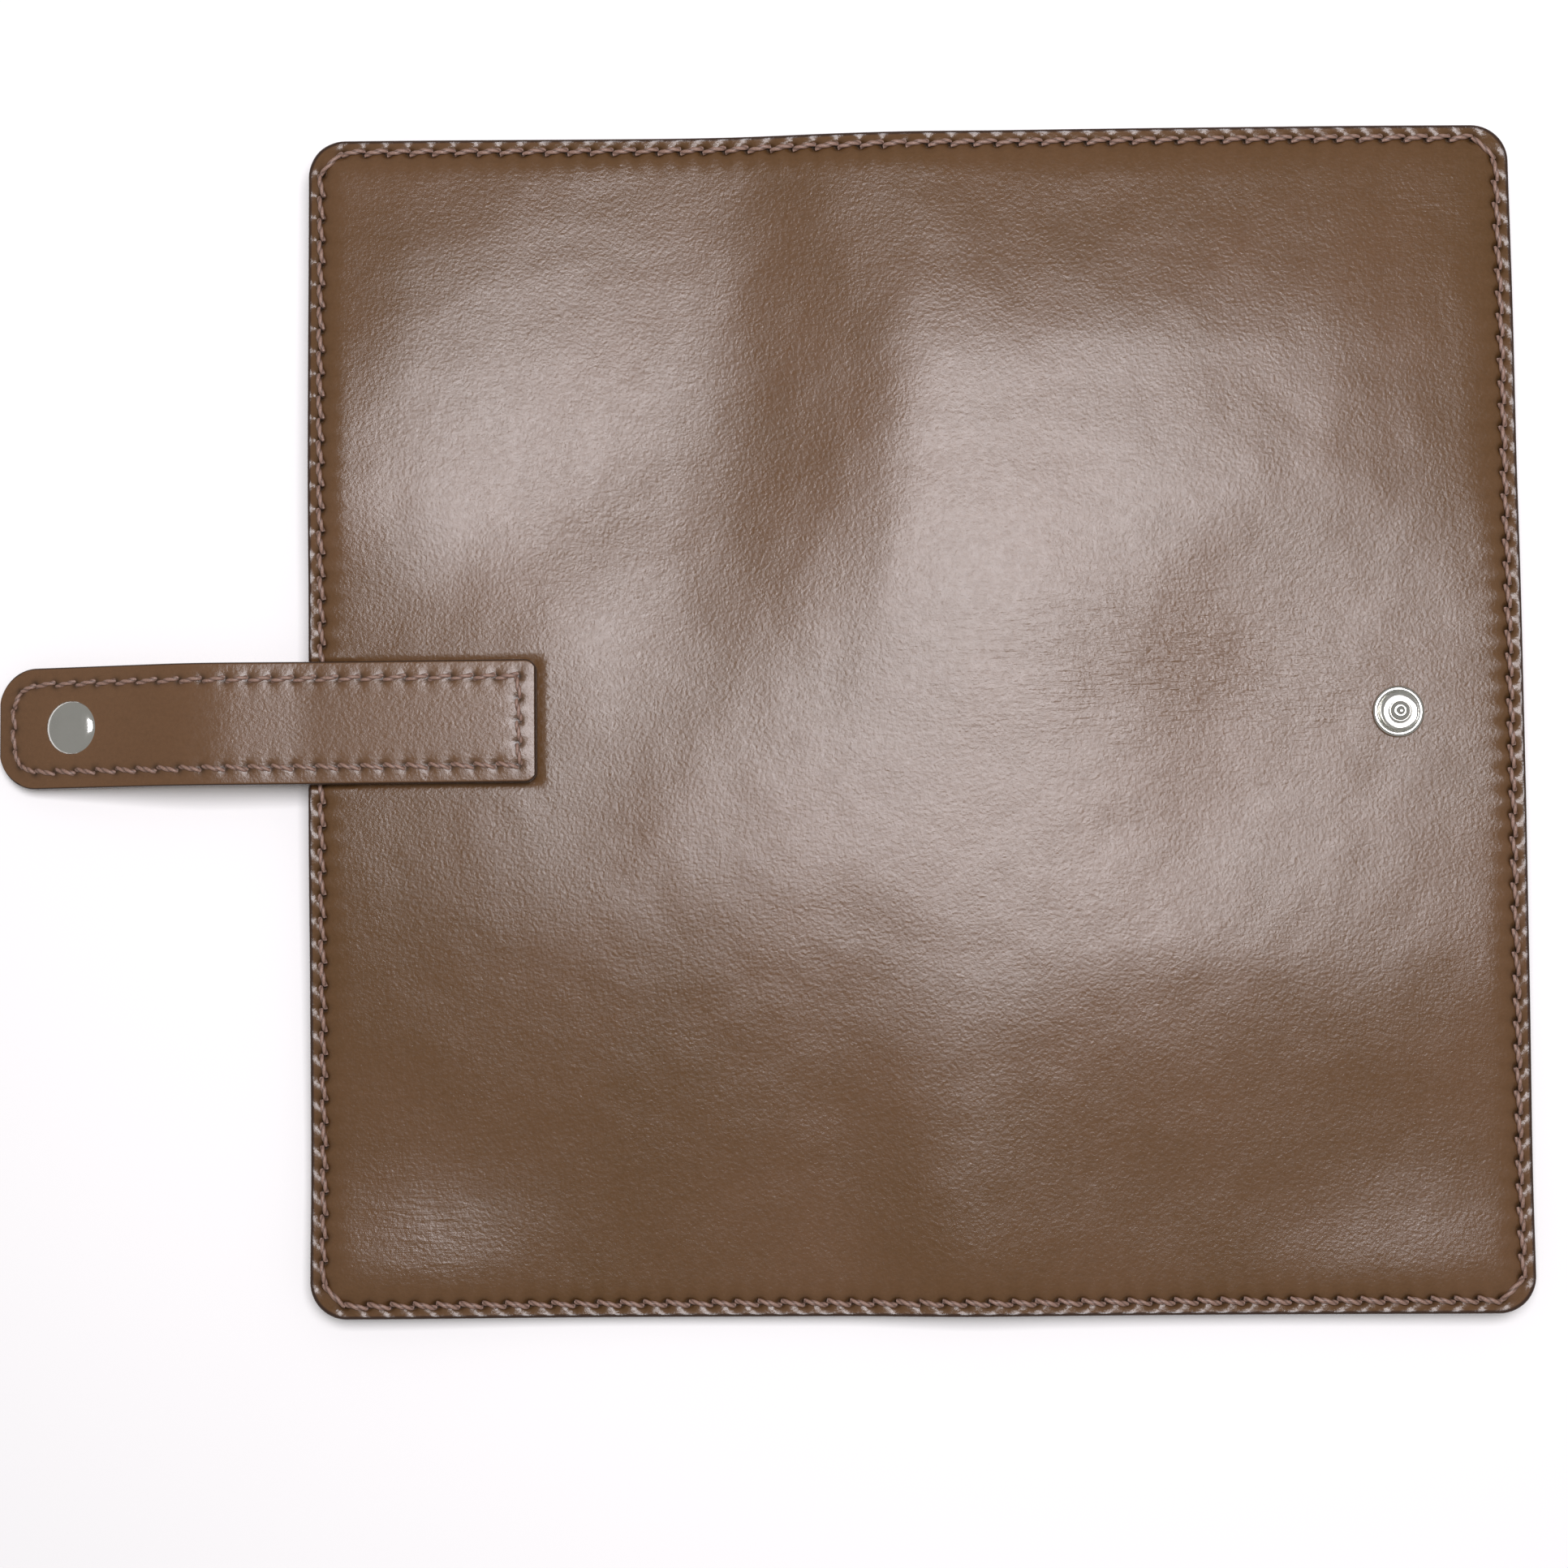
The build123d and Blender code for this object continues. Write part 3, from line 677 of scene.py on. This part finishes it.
def leather(name, dark, light, edge, roughness, grain=0.05, wrinkles=True):
    """Smooth dyed leather: cloudy colour, fine pores, darker painted edges, and painted shade in
    the sewing holes.
    """
    s = Shader(name)
    at = s.rest()
    clouds = s.spread(s.noise(at, 0.022, 3.0, 0.55), 0.32, 0.68)
    specks = s.spread(s.noise(at, 1.7, 3.0, 0.65), 0.35, 0.65)
    tone = s.mix(clouds, colour(*dark), colour(*light))
    tone = s.mix(s.calc("MULTIPLY", specks, 0.16), tone, colour(*[c * 1.5 for c in light]))
    fibres = s.spread(s.noise(s.rest((0.5, 1.6, 1)), 0.8, 3.0, 0.6), 0.5, 0.72, 0.0, 0.14)
    tone = s.mix(fibres, tone, colour(*[c * 0.72 for c in dark]))
    # painted shade: the stitch holes and their grooves are mixed towards near-black
    hole_shade = colour(*[c * 0.16 for c in dark])
    tone = s.mix(s.calc("MULTIPLY", s.attribute("seam"), 0.85), tone, hole_shade)
    tone = s.mix(s.calc("MULTIPLY", s.attribute("edge"), 0.9), tone, colour(*edge))
    pores = s.node("ShaderNodeTexVoronoi", {"Vector": at, "Scale": 1.55}, feature="SMOOTH_F1")
    pebble = s.spread(pores.outputs["Distance"], 0.0, 0.7)
    fine = s.noise(at, 1.9, 3.0, 0.62)
    height = s.calc("ADD", s.calc("MULTIPLY", pebble, 0.3), fine)
    normal = s.bump(height, grain)
    if wrinkles:
        lines = s.noise(s.rest((0.10, 0.62, 0.62)), 1.0, 4.0, 0.62)
        folds = s.calc("MULTIPLY", s.calc("ABSOLUTE", s.calc("SUBTRACT", lines, 0.5)), 3.0, True)
        masked = s.calc("MULTIPLY", folds, s.attribute("crease"))
        normal = s.bump(masked, 0.16, 0.8, normal)
        soft = s.noise(at, 0.05, 2.0, 0.45)
        normal = s.bump(soft, 0.8, 0.5, normal)
    rough = s.spread(s.noise(at, 0.9, 4.0, 0.7), 0.3, 0.7, roughness - 0.05, roughness + 0.06)
    s.set(Base_Color=tone, Roughness=rough, Normal=normal)
    s.set(Specular_IOR_Level=0.42)
    return s.material


def thread_look(name, dark, light):
    """Waxed two-ply thread, with painted shade between its plies."""
    s = Shader(name)
    at = s.rest()
    fibres = s.noise(at, 5.0, 3.0, 0.6)
    ply = s.attribute("ply")
    tone = s.mix(s.spread(fibres, 0.3, 0.7), colour(*dark), colour(*light))
    # painted shade in the groove between the two plies
    tone = s.mix(s.spread(ply, 0.45, 0.0, 0.0, 0.75), tone, colour(*[c * 0.35 for c in dark]))
    s.set(Base_Color=tone, Roughness=0.42, Normal=s.bump(fibres, 0.05))
    return s.material


def woven(name, dark, light):
    """Zipper tape: a fine herringbone."""
    s = Shader(name)
    x = s.node("ShaderNodeSeparateXYZ", {0: s.rest()})
    slope = s.calc("PINGPONG", x.outputs[0], 1.4)
    phase = s.calc("ADD", s.calc("MULTIPLY", x.outputs[1], 8.0), s.calc("MULTIPLY", slope, 9.0))
    rib = s.spread(s.calc("SINE", phase), -1.0, 1.0)
    tone = s.mix(rib, colour(*dark), colour(*light))
    s.set(Base_Color=tone, Roughness=0.8, Normal=s.bump(rib, 0.08))
    s.set(Sheen_Weight=0.2)
    return s.material


def metal(name, tint, roughness, worn):
    """Plated metal with faint scratches and a thin film of grime."""
    s = Shader(name)
    at = s.node("ShaderNodeTexCoord").outputs["Object"]
    scratches = s.node("ShaderNodeMapping", {
        "Vector": at, "Scale": (900, 90, 900), "Rotation": (0, 0, 0.6),
    })
    fine = s.noise(scratches.outputs[0], 1.0, 4.0, 0.7)
    grime = s.spread(s.noise(at, 260.0, 4.0, 0.6), 0.45, 0.75)
    rough = s.calc("ADD", s.spread(fine, 0.35, 0.7, roughness * 0.7, roughness * 1.5),
                   s.calc("MULTIPLY", grime, worn * 0.4))
    dull = colour(*[c * 0.62 for c in tint])
    tone = s.mix(s.calc("MULTIPLY", grime, worn), colour(*tint), dull)
    s.set(Base_Color=tone, Roughness=rough, Normal=s.bump(fine, 0.0008))
    s.set(Metallic=1.0)
    return s.material


cover_leather = leather(
    "cover_leather", (0.098, 0.049, 0.018), (0.120, 0.061, 0.028), (0.03, 0.015, 0.01),
    roughness=0.225, grain=0.045,
)
strap_leather = leather(
    "strap_leather", (0.114, 0.058, 0.027), (0.134, 0.070, 0.034), (0.022, 0.011, 0.007),
    roughness=0.24, grain=0.04, wrinkles=False,
)
lining_leather = leather(
    "lining_leather", (0.20, 0.125, 0.08), (0.26, 0.165, 0.11), (0.05, 0.03, 0.02),
    roughness=0.55, wrinkles=False,
)
pocket_leather = leather(
    "pocket_leather", (0.15, 0.083, 0.052), (0.195, 0.112, 0.078), (0.04, 0.02, 0.014),
    roughness=0.42, wrinkles=False,
)
thread = thread_look("thread", (0.19, 0.11, 0.082), (0.33, 0.21, 0.165))
tape = woven("zipper_tape", (0.035, 0.022, 0.016), (0.085, 0.055, 0.042))
zipper_metal = metal("zipper_metal", (0.78, 0.74, 0.66), 0.2, 0.35)
snap_metal = metal("snap_metal", (0.80, 0.80, 0.76), 0.1, 0.2)

# ---------------------------------------------------------------- the cover and its sewing
BACK, FRONT = -1, 1


def bend_with_cover(obj, side):
    """A piece of one half that runs on to the middle of the spine: its transform is baked in, the
    same for both sides; it is not attached to any body.
    """
    if side == BACK:
        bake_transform(obj)
    else:
        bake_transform(obj)


halves = {BACK: "back", FRONT: "front"}
for side, half in halves.items():
    seam = half_seam(side)
    cover = cover_half(f"cover_{half}", side, seam, cover_leather)
    bend_with_cover(cover, side)
    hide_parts(f"outer_leather_{half}", "outer_leather_spine")
    for under in (False, True):
        label = f"edge_thread_{half}" + ("_inside" if under else "")
        threads = cover_threads(label, seam, thread, under)
        bend_with_cover(threads, side)
        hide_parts(f"perimeter_stitch_{half}", "perimeter_stitch_spine")

    t, v = rounded_grid(0.0, REACH, HALF, CORNER, 2.2)
    low = lining_low(side * t, v)
    lining = sheet(
        f"lining_sheet_{half}", t, v, low, low + LINING, in_frame(side), lining_leather,
        cuts=(True, False),
    )
    bend_with_cover(lining, side)
    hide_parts(f"lining_{half}", "lining_spine")

# ---------------------------------------------------------------- pockets
pocket_nodes = {
    "bill_pocket_back": (BACK, lining_leather, "lining_leather"),
    "bill_pocket_front": (FRONT, lining_leather, "lining_leather"),
    "coin_pocket_back_wall": (BACK, lining_leather, "lining_leather"),
    "coin_pocket_front_wall": (BACK, pocket_leather, "pocket_leather"),
    "card_slot_backing": (FRONT, lining_leather, "lining_leather"),
    "card_slot_1": (FRONT, pocket_leather, "pocket_leather"),
    "card_slot_2": (FRONT, pocket_leather, "pocket_leather"),
    "card_slot_3": (FRONT, pocket_leather, "pocket_leather"),
    "card_slot_4": (FRONT, pocket_leather, "pocket_leather"),
    "coin_pocket_upper_strip": (BACK, pocket_leather, "pocket_leather"),
}
POCKET_CORNER = 1.2
bodies_of_side = {BACK: "back_panel", FRONT: "front_panel"}
for node, (side, look, slot) in pocket_nodes.items():
    low, high = box_mm(node)
    ends = sorted((abs(low[0] - SPINE), abs(high[0] - SPINE)))
    reaches_edge = ends[1] > REACH - 1.0
    piece = pocket_sheet(
        f"{node}_leather", side, ends[0], ends[1], low[2], high[2], look,
        corner=CORNER if reaches_edge else POCKET_CORNER,
    )
    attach(piece, bodies_of_side[side])
    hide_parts(node)

# ---------------------------------------------------------------- pocket sewing
SEAM_ROW = HALF - SEAM_INSET
coin_front_inner = abs(box_mm("coin_pocket_front_wall")[1][0] - SPINE)
coin_strip_outer = abs(box_mm("coin_pocket_upper_strip")[0][0] - SPINE)
MOUTH_SEAM = 2.8  # from a pocket's cut edge to its row of stitches
coin_seams = -(coin_front_inner + MOUTH_SEAM), -(coin_strip_outer - MOUTH_SEAM)
coin_rows = np.vstack([run((x, -SEAM_ROW), (x, SEAM_ROW), SLANT) for x in coin_seams])
COIN_LEVEL = 0.42  # height of the coin pocket's threads
LAST_SLOT = 4
SLOT_LIFT, LAST_SLOT_LIFT = 0.05, 0.42  # the card slots' threads over their leather's low face


def inner_threads(name, rows, levels, body, node):
    """Stitches that show on the pockets' faces, which look down."""
    turn = np.radians(rows[:, 2] + rows[:, 4])
    directions = np.column_stack([np.cos(turn), np.sin(turn), np.zeros(len(rows))])
    normals = np.tile((0.0, 0.0, -1.0), (len(rows), 1))
    centres = np.column_stack([SPINE + rows[:, 0], rows[:, 1], levels])
    obj = twisted_threads(
        name, centres, directions, normals, rows[:, 3], thread, **COARSE, radius=0.28
    )
    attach(obj, body)
    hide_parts(node)


inner_threads(
    "coin_thread", coin_rows, np.full(len(coin_rows), COIN_LEVEL), "back_panel",
    "coin_pocket_stitch",
)
slot_rows, slot_levels = [], []
for number in range(1, LAST_SLOT + 1):
    low, high = box_mm(f"card_slot_{number}")
    start = low[0] - SPINE + 1.0
    if number < LAST_SLOT:
        stop = box_mm(f"card_slot_{number + 1}")[0][0] - SPINE - 1.0
    else:
        stop = REACH - SEAM_INSET - 1
    part = run((start, 0), (stop, 0), -SLANT)
    slot_rows.append(part)
    lift = LAST_SLOT_LIFT if number == LAST_SLOT else SLOT_LIFT
    slot_levels.append(np.full(len(part), low[2] + lift))
inner_threads(
    "card_thread", np.vstack(slot_rows), np.concatenate(slot_levels), "front_panel",
    "card_slot_stitch",
)

# ---------------------------------------------------------------- zipper
CLOTH_EDGE = (0.0, 0.05, 0.12, 0.2)
for row in ("outer", "spine"):
    low, high = box_mm(f"zipper_tape_{row}")
    xs = graded(low[0], high[0], 1.2, CLOTH_EDGE)
    ys = graded(low[1], high[1], 2.5, CLOTH_EDGE)
    a, b = np.meshgrid(xs, ys, indexing="ij")
    bottom = layer_height(a - SPINE, b, low[2])
    piece = sheet(
        f"zipper_tape_{row}_cloth", a, b, bottom, bottom + (high[2] - low[2]) * 0.9,
        lambda x, y, z: np.stack([x, y, z], -1), tape,
    )
    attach(piece, "back_panel")
    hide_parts(f"zipper_tape_{row}")


def prism(outline, low, high):
    """Points and faces of an upright prism with slightly drawn-in ends."""
    outline = np.array(outline, float)
    centre = outline.mean(0)
    count = len(outline)
    ends = []
    for z, shrink in ((low, 0.86), (low + 0.12, 1.0), (high - 0.12, 1.0), (high, 0.86)):
        ends.append(np.column_stack([centre + (outline - centre) * shrink, np.full(count, z)]))
    faces = [list(range(count))[::-1], list(range(3 * count, 4 * count))]
    for level in range(3):
        for i in range(count):
            j = (i + 1) % count
            below, above = level * count, (level + 1) * count
            faces.append([below + i, below + j, above + j, above + i])
    return np.vstack(ends), faces


TOOTH_PITCH = 2.0
for row, row_side in (("outer", -1), ("spine", 1)):
    low, high = box_mm(f"zipper_teeth_{row}")
    count = round((high[1] - low[1] + 0.9) / TOOTH_PITCH)
    tip = low[0] if row_side > 0 else high[0]
    heel = high[0] if row_side > 0 else low[0]
    shape = [
        (tip, -0.32), (tip + row_side * 0.35, -0.55), (tip + row_side * 0.75, -0.36),
        (tip + row_side * 1.2, -0.5), (heel, -0.5), (heel, 0.5),
        (tip + row_side * 1.2, 0.5), (tip + row_side * 0.75, 0.36),
        (tip + row_side * 0.35, 0.55), (tip, 0.32),
    ]
    if row_side < 0:
        shape = shape[::-1]
    points, faces = [], []
    for i in range(count):
        y = low[1] + 0.55 + i * TOOTH_PITCH
        body, body_faces = prism([(x, y + dy) for x, dy in shape], low[2], high[2])
        faces += [[n + len(body) * i for n in face] for face in body_faces]
        points.append(body)
    piece = make_piece(
        f"zipper_teeth_{row}_metal", np.vstack(points), faces, zipper_metal, flat=True
    )
    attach(piece, "back_panel")
    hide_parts(f"zipper_teeth_{row}")


def dress(node, look):
    """Gives a CAD node its material."""
    cad = frame["nodes"][node]
    cad.data.materials.clear()
    cad.data.materials.append(look)
    return cad


for node in ("zipper_slider_body", "zipper_pull_tab", "zipper_top_stops", "zipper_bottom_stop"):
    bevel = dress(node, zipper_metal).modifiers.new("soft_edges", "BEVEL")
    bevel.width = 0.1 * MM
    bevel.segments = 3
    bevel.limit_method = "ANGLE"
    bevel.angle_limit = math.radians(40)
for node in ("snap_stud_post", "snap_socket_spring"):
    dress(node, snap_metal)

# ---------------------------------------------------------------- strap
STRAP_WIDTH = STRAP_HALF * 2
STRAP_OUTER = box_mm("strap_outer_base")[1][2] - box_mm("strap_outer_base")[0][2]
STRAP_LINING = box_mm("strap_lining_base")[1][2] - box_mm("strap_lining_base")[0][2]
STRAP_SEAM = 2.8  # from the strap's edge to its row of stitches
TIP_CORNER = 6.6
SEWN_CORNER = 1.8
wrap_at, snap_at = pivot("strap_wrap"), pivot("strap_snap")
BRIDGE = float(np.hypot(snap_at[0] - wrap_at[0], snap_at[2] - wrap_at[2]))
cap_low, cap_high = box_mm("snap_cap")
socket_low, socket_high = box_mm("snap_socket")
snap_axis = ((cap_low + cap_high) - (socket_low + socket_high)) / 2
snap_axis /= np.linalg.norm(snap_axis)
RISE = math.asin((snap_at[2] - wrap_at[2]) / BRIDGE)
DROOP = math.asin(-snap_axis[0])
BASE_LENGTH = box_mm("strap_outer_base")[1][0] - wrap_at[0]
TIP_LENGTH = 34.0  # from the second bend to the end of the tip
SNAP_ALONG = 20.7  # from the second bend to the snap
STRAP_BEND = 4.5  # the strap bends over this far on both sides of a hinge

# the underside's path: level along the sewn end, then rising, then drooping towards the tip
PATH_STEP = 0.1
path_s = np.arange(-BASE_LENGTH - 1, BRIDGE + TIP_LENGTH + 1, PATH_STEP)
path_slope = -RISE * smooth(path_s, -3, 3)
path_slope = path_slope + (RISE + DROOP) * smooth(path_s, BRIDGE - 9, BRIDGE + 9)
path_x = -np.cumsum(np.cos(path_slope)) * PATH_STEP
path_z = -np.cumsum(np.sin(path_slope)) * PATH_STEP
origin = np.interp(0.0, path_s, path_x), np.interp(-8.0, path_s, path_z)
path_x += wrap_at[0] - origin[0]
path_z += wrap_at[2] - origin[1]


def on_strap(s, w, h):
    """A place on the strap: s along it from the first bend, w across it, h above its underside."""
    slope = np.interp(s, path_s, path_slope)
    x = np.interp(s, path_s, path_x) - h * np.sin(slope)
    z = np.interp(s, path_s, path_z) + h * np.cos(slope)
    return np.stack([x, w + 0 * x, z], -1)


def strap_seam():
    """The stitches round the strap, in distance along it and across it."""
    row = STRAP_WIDTH / 2 - STRAP_SEAM
    first = -BASE_LENGTH + STRAP_SEAM
    last = BRIDGE + TIP_LENGTH - STRAP_SEAM
    trim = TIP_CORNER - STRAP_SEAM
    corner = (last - trim, row), (last - 0.3 * trim, row - 0.3 * trim), (last, row - trim)
    return np.vstack([
        run((first, row), corner[0], -SLANT),
        run(corner[0], corner[1], 0, 1),
        run(corner[1], corner[2], 0, 1),
        run(corner[2], (last, trim - row), -SLANT),
        run((last, trim - row), (corner[1][0], -corner[1][1]), 0, 1),
        run((corner[1][0], -corner[1][1]), (corner[0][0], -row), 0, 1),
        run((corner[0][0], -row), (first, -row), SLANT),
        run((first, -row), (first, row), -SLANT),
    ])


def strap_grid(low, high, step):
    """Grids along and across one stretch of the strap, with the strap's rounded ends."""
    s = np.arange(low, high + step / 2, step)
    s = np.linspace(low, high, len(s))
    if low < -BASE_LENGTH + 1:
        s = np.unique(np.concatenate([[low, low + 0.06, low + 0.16, low + 0.32], s[1:]]))
    if high > BRIDGE + TIP_LENGTH - 1:
        close = high - TIP_CORNER * (1 - np.cos(np.linspace(0, math.pi / 2, 26)))
        s = np.unique(np.concatenate([s[s < high - TIP_CORNER], close]).round(5))
    edge = (0.0, 0.06, 0.16, 0.32, 0.5)
    across = graded(-STRAP_WIDTH / 2, STRAP_WIDTH / 2, step, edge)
    from_sewn = s + BASE_LENGTH
    from_tip = BRIDGE + TIP_LENGTH - s
    shrink = np.zeros(len(s))
    for gap, corner in ((from_sewn, SEWN_CORNER), (from_tip, TIP_CORNER)):
        near = np.clip(corner - gap, 0, corner)
        shrink = np.maximum(shrink, corner - np.sqrt(np.maximum(corner**2 - near**2, 0)))
    grid_s, grid_w = np.meshgrid(s, across, indexing="ij")
    return grid_s, grid_w * (STRAP_WIDTH / 2 - shrink)[:, None] / (STRAP_WIDTH / 2)


strap_stitches = strap_seam()
strap_holes = holes_of(strap_stitches)
strap_parts = (
    ("base", -BASE_LENGTH, BRIDGE / 2, "back_panel", "strap_bridge", wrap_at),
    ("tip", BRIDGE / 2, BRIDGE + TIP_LENGTH, "strap_bridge", "strap_tip", snap_at),
)
for part, low, high, first_body, second_body, hinge in strap_parts:
    start = [(hinge[0] + STRAP_BEND) * MM, 0, hinge[2] * MM]
    for layer, step, base_z, thick in (
        ("outer", 0.36, STRAP_LINING, STRAP_OUTER), ("lining", 1.4, 0.0, STRAP_LINING),
    ):
        outer = layer == "outer"
        s, w = strap_grid(low, high, step)
        half_here = abs(w[:, -1:]) + 0 * w
        dome = 0.22 * (1 - (w / half_here) ** 4) if outer else 0 * w
        from_ends = np.minimum(s + BASE_LENGTH, BRIDGE + TIP_LENGTH - s)
        gap = np.minimum(half_here - abs(w), from_ends)
        attributes = {"edge": np.tile((gap < 0.3).ravel().astype(float), 2)}
        z_high = base_z + thick + dome * smooth(gap, 0, 3)
        if outer:
            marks, dark = sewing(s.ravel(), w.ravel(), strap_holes, 4.0)
            z_high = z_high + (0.22 * marks.reshape(s.shape) + 0.03) * smooth(gap, 0.2, 1.0)
            # painted shade in the strap's stitch holes and grooves
            attributes["seam"] = np.concatenate([dark, 0 * dark])
        piece = sheet(
            f"strap_{layer}_{part}_leather", s, w, base_z + 0 * s, z_high, on_strap,
            strap_leather if outer else lining_leather, attributes, rounding=0.34,
            cuts=(part == "tip", part == "base"),
        )
        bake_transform(piece)
        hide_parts(f"strap_{layer}_bridge", f"strap_{layer}_{part}")
    in_base = strap_stitches[:, 0] < BRIDGE / 2
    chosen = strap_stitches[in_base if part == "base" else ~in_base]
    turn = np.radians(chosen[:, 2] + chosen[:, 4])
    along, across = chosen[:, 0], chosen[:, 1]
    # the part with the sewn end has threads on its outer side only
    for under in (False,) if part == "base" else (False, True):
        level = np.full(len(chosen), 0.2 if under else STRAP_LINING + STRAP_OUTER + 0.06)
        centre = on_strap(along, across, level)
        ahead = on_strap(along + np.cos(turn) * 0.5, across + np.sin(turn) * 0.5, level)
        direction = (ahead - centre) / np.linalg.norm(ahead - centre, axis=1)[:, None]
        above = on_strap(along, across, level + 1.0) - centre
        label = f"strap_thread_{part}" + ("_under" if under else "")
        piece = twisted_threads(
            label, centre, direction, -above if under else above, chosen[:, 3], thread,
            **(COARSE if under else FINE), radius=0.3 if under else 0.38,
        )
        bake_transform(piece)
        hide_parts("strap_stitch_bridge", f"strap_stitch_{part}")


# ---------------------------------------------------------------- snap
def lathe(name, profile, origin, axis, body, node, segments=72):
    """A turned piece: profile is radius and height above the origin along the axis."""
    axis = np.array(axis, float)
    aside = np.cross((0.0, 1.0, 0.0), axis)
    aside /= np.linalg.norm(aside)
    other = np.cross(axis, aside)
    theta = np.linspace(0, 2 * math.pi, segments, endpoint=False)
    ring = np.cos(theta)[:, None] * aside + np.sin(theta)[:, None] * other
    points, faces, rows = [], [], []
    for radius, height in profile:
        centre = np.array(origin) + axis * height
        if radius == 0:
            rows.append([len(points)])
            points.append(centre)
        else:
            rows.append(list(range(len(points), len(points) + segments)))
            points += list(centre + ring * radius)
    for first, second in zip(rows, rows[1:]):
        for i in range(segments):
            j = (i + 1) % segments
            corners = [row[k % len(row)] for row, k in (
                (first, i), (first, j), (second, j), (second, i)
            )]
            faces.append(list(dict.fromkeys(corners)))
    obj = make_piece(name, np.array(points), faces, snap_metal)
    turn_outwards(obj)
    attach(obj, body)
    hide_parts(node)


# the snap's axis meets the strap's underside here
snap_root = on_strap(np.array(BRIDGE + SNAP_ALONG), np.array(0.0), np.array(0.0))
strap_top = STRAP_LINING + STRAP_OUTER
cap_over_strap = [
    (0, 1.30), (0.8, 1.29), (1.6, 1.24), (2.4, 1.14), (3.1, 1.0), (3.7, 0.80), (4.1, 0.58),
    (4.38, 0.34), (4.5, 0.12), (4.5, -0.02), (4.3, -0.1), (1.85, -0.1),
]
cap_profile = [(radius, strap_top + height) for radius, height in cap_over_strap]
cap_profile += [
    (1.85, 0.0), (1.85, -0.3), (1.4, -0.3), (1.4, strap_top - 0.2), (0, strap_top - 0.2),
]
lathe("snap_cap_metal", cap_profile, snap_root, snap_axis, "strap_tip", "snap_cap")
socket_profile = [
    (1.95, 0.0), (4.0, 0.0), (4.1, -0.1), (4.1, -0.4), (3.9, -0.5), (3.6, -0.55), (3.5, -0.7),
    (3.5, -1.75), (3.35, -1.95), (3.1, -2.0), (2.3, -2.0), (2.0, -1.92), (1.95, -1.75),
    (1.98, -1.52), (2.45, -1.45), (2.45, -0.4), (1.95, -0.35), (1.95, 0.0),
]
lathe("snap_socket_metal", socket_profile, snap_root, snap_axis, "strap_tip", "snap_socket")
stud_root = (STUD_X, STUD_Y, STUD[0][2])
stud_profile = [
    (0.9, 0.0), (4.0, 0.0), (4.15, 0.1), (4.15, 0.34), (4.08, 0.52), (3.9, 0.66), (3.65, 0.70),
    (3.4, 0.66), (3.2, 0.52), (2.9, 0.38), (2.4, 0.34), (1.75, 0.34), (1.5, 0.42), (1.36, 0.6),
    (1.3, 0.85), (1.36, 1.08), (1.55, 1.3), (1.65, 1.55), (1.65, 1.8), (1.54, 2.04),
    (1.3, 2.24), (0.95, 2.36), (0.75, 2.4), (0.62, 2.36), (0.5, 2.2), (0, 2.16), (0, 1.4),
    (0.9, 1.4), (0.9, 0.0),
]
lathe("snap_stud_metal", stud_profile, stud_root, (0, 0, 1), "front_panel", "snap_stud")

# ---------------------------------------------------------------- floor, light and camera
FLOOR = 1500.0
corners = (-FLOOR, -FLOOR), (FLOOR, -FLOOR), (FLOOR, FLOOR), (-FLOOR, FLOOR)
floor_points = [(x, y, -0.05) for x, y in corners]
floor_look = Shader("floor")
floor_look.set(Base_Color=colour(0.97, 0.975, 0.98), Roughness=0.9)
floor = make_piece("floor", floor_points, [[0, 1, 2, 3]], floor_look.material)


def area_light(name, at, size, power, tint, aim):
    data = bpy.data.lights.new(name, "AREA")
    data.shape = "RECTANGLE"
    data.size, data.size_y = size[0] * MM, size[1] * MM
    data.energy = power
    data.color = tint
    obj = bpy.data.objects.new(name, data)
    obj.location = Vector(at) * MM
    direction = Vector(aim) - Vector(at)
    obj.rotation_euler = direction.to_track_quat("-Z", "Y").to_euler()
    bpy.context.scene.collection.objects.link(obj)


area_light("key", (SPINE + 46, 94, 700), (362, 300), 4.7, (1.0, 0.965, 1.0), (SPINE + 46, 94, 0))

world = bpy.data.worlds.new("studio")
world.use_nodes = True
background = world.node_tree.nodes["Background"]
background.inputs["Color"].default_value = (1.0, 0.975, 0.94, 1)
background.inputs["Strength"].default_value = 0.3
bpy.context.scene.world = world
bpy.context.scene.view_settings.view_transform = "Standard"
bpy.context.scene.view_settings.look = "None"

camera_data = bpy.data.cameras.new("camera")
camera_data.lens = 63.04
camera_data.sensor_width = 36.0
camera_data.clip_start = 0.01
camera = bpy.data.objects.new("camera", camera_data)
camera.location = Vector((SPINE - 9.2, -35.8, 451.3)) * MM
camera.rotation_euler = [math.radians(angle) for angle in (3.23, 1.55, -0.54)]
bpy.context.scene.collection.objects.link(camera)
bpy.context.scene.camera = camera
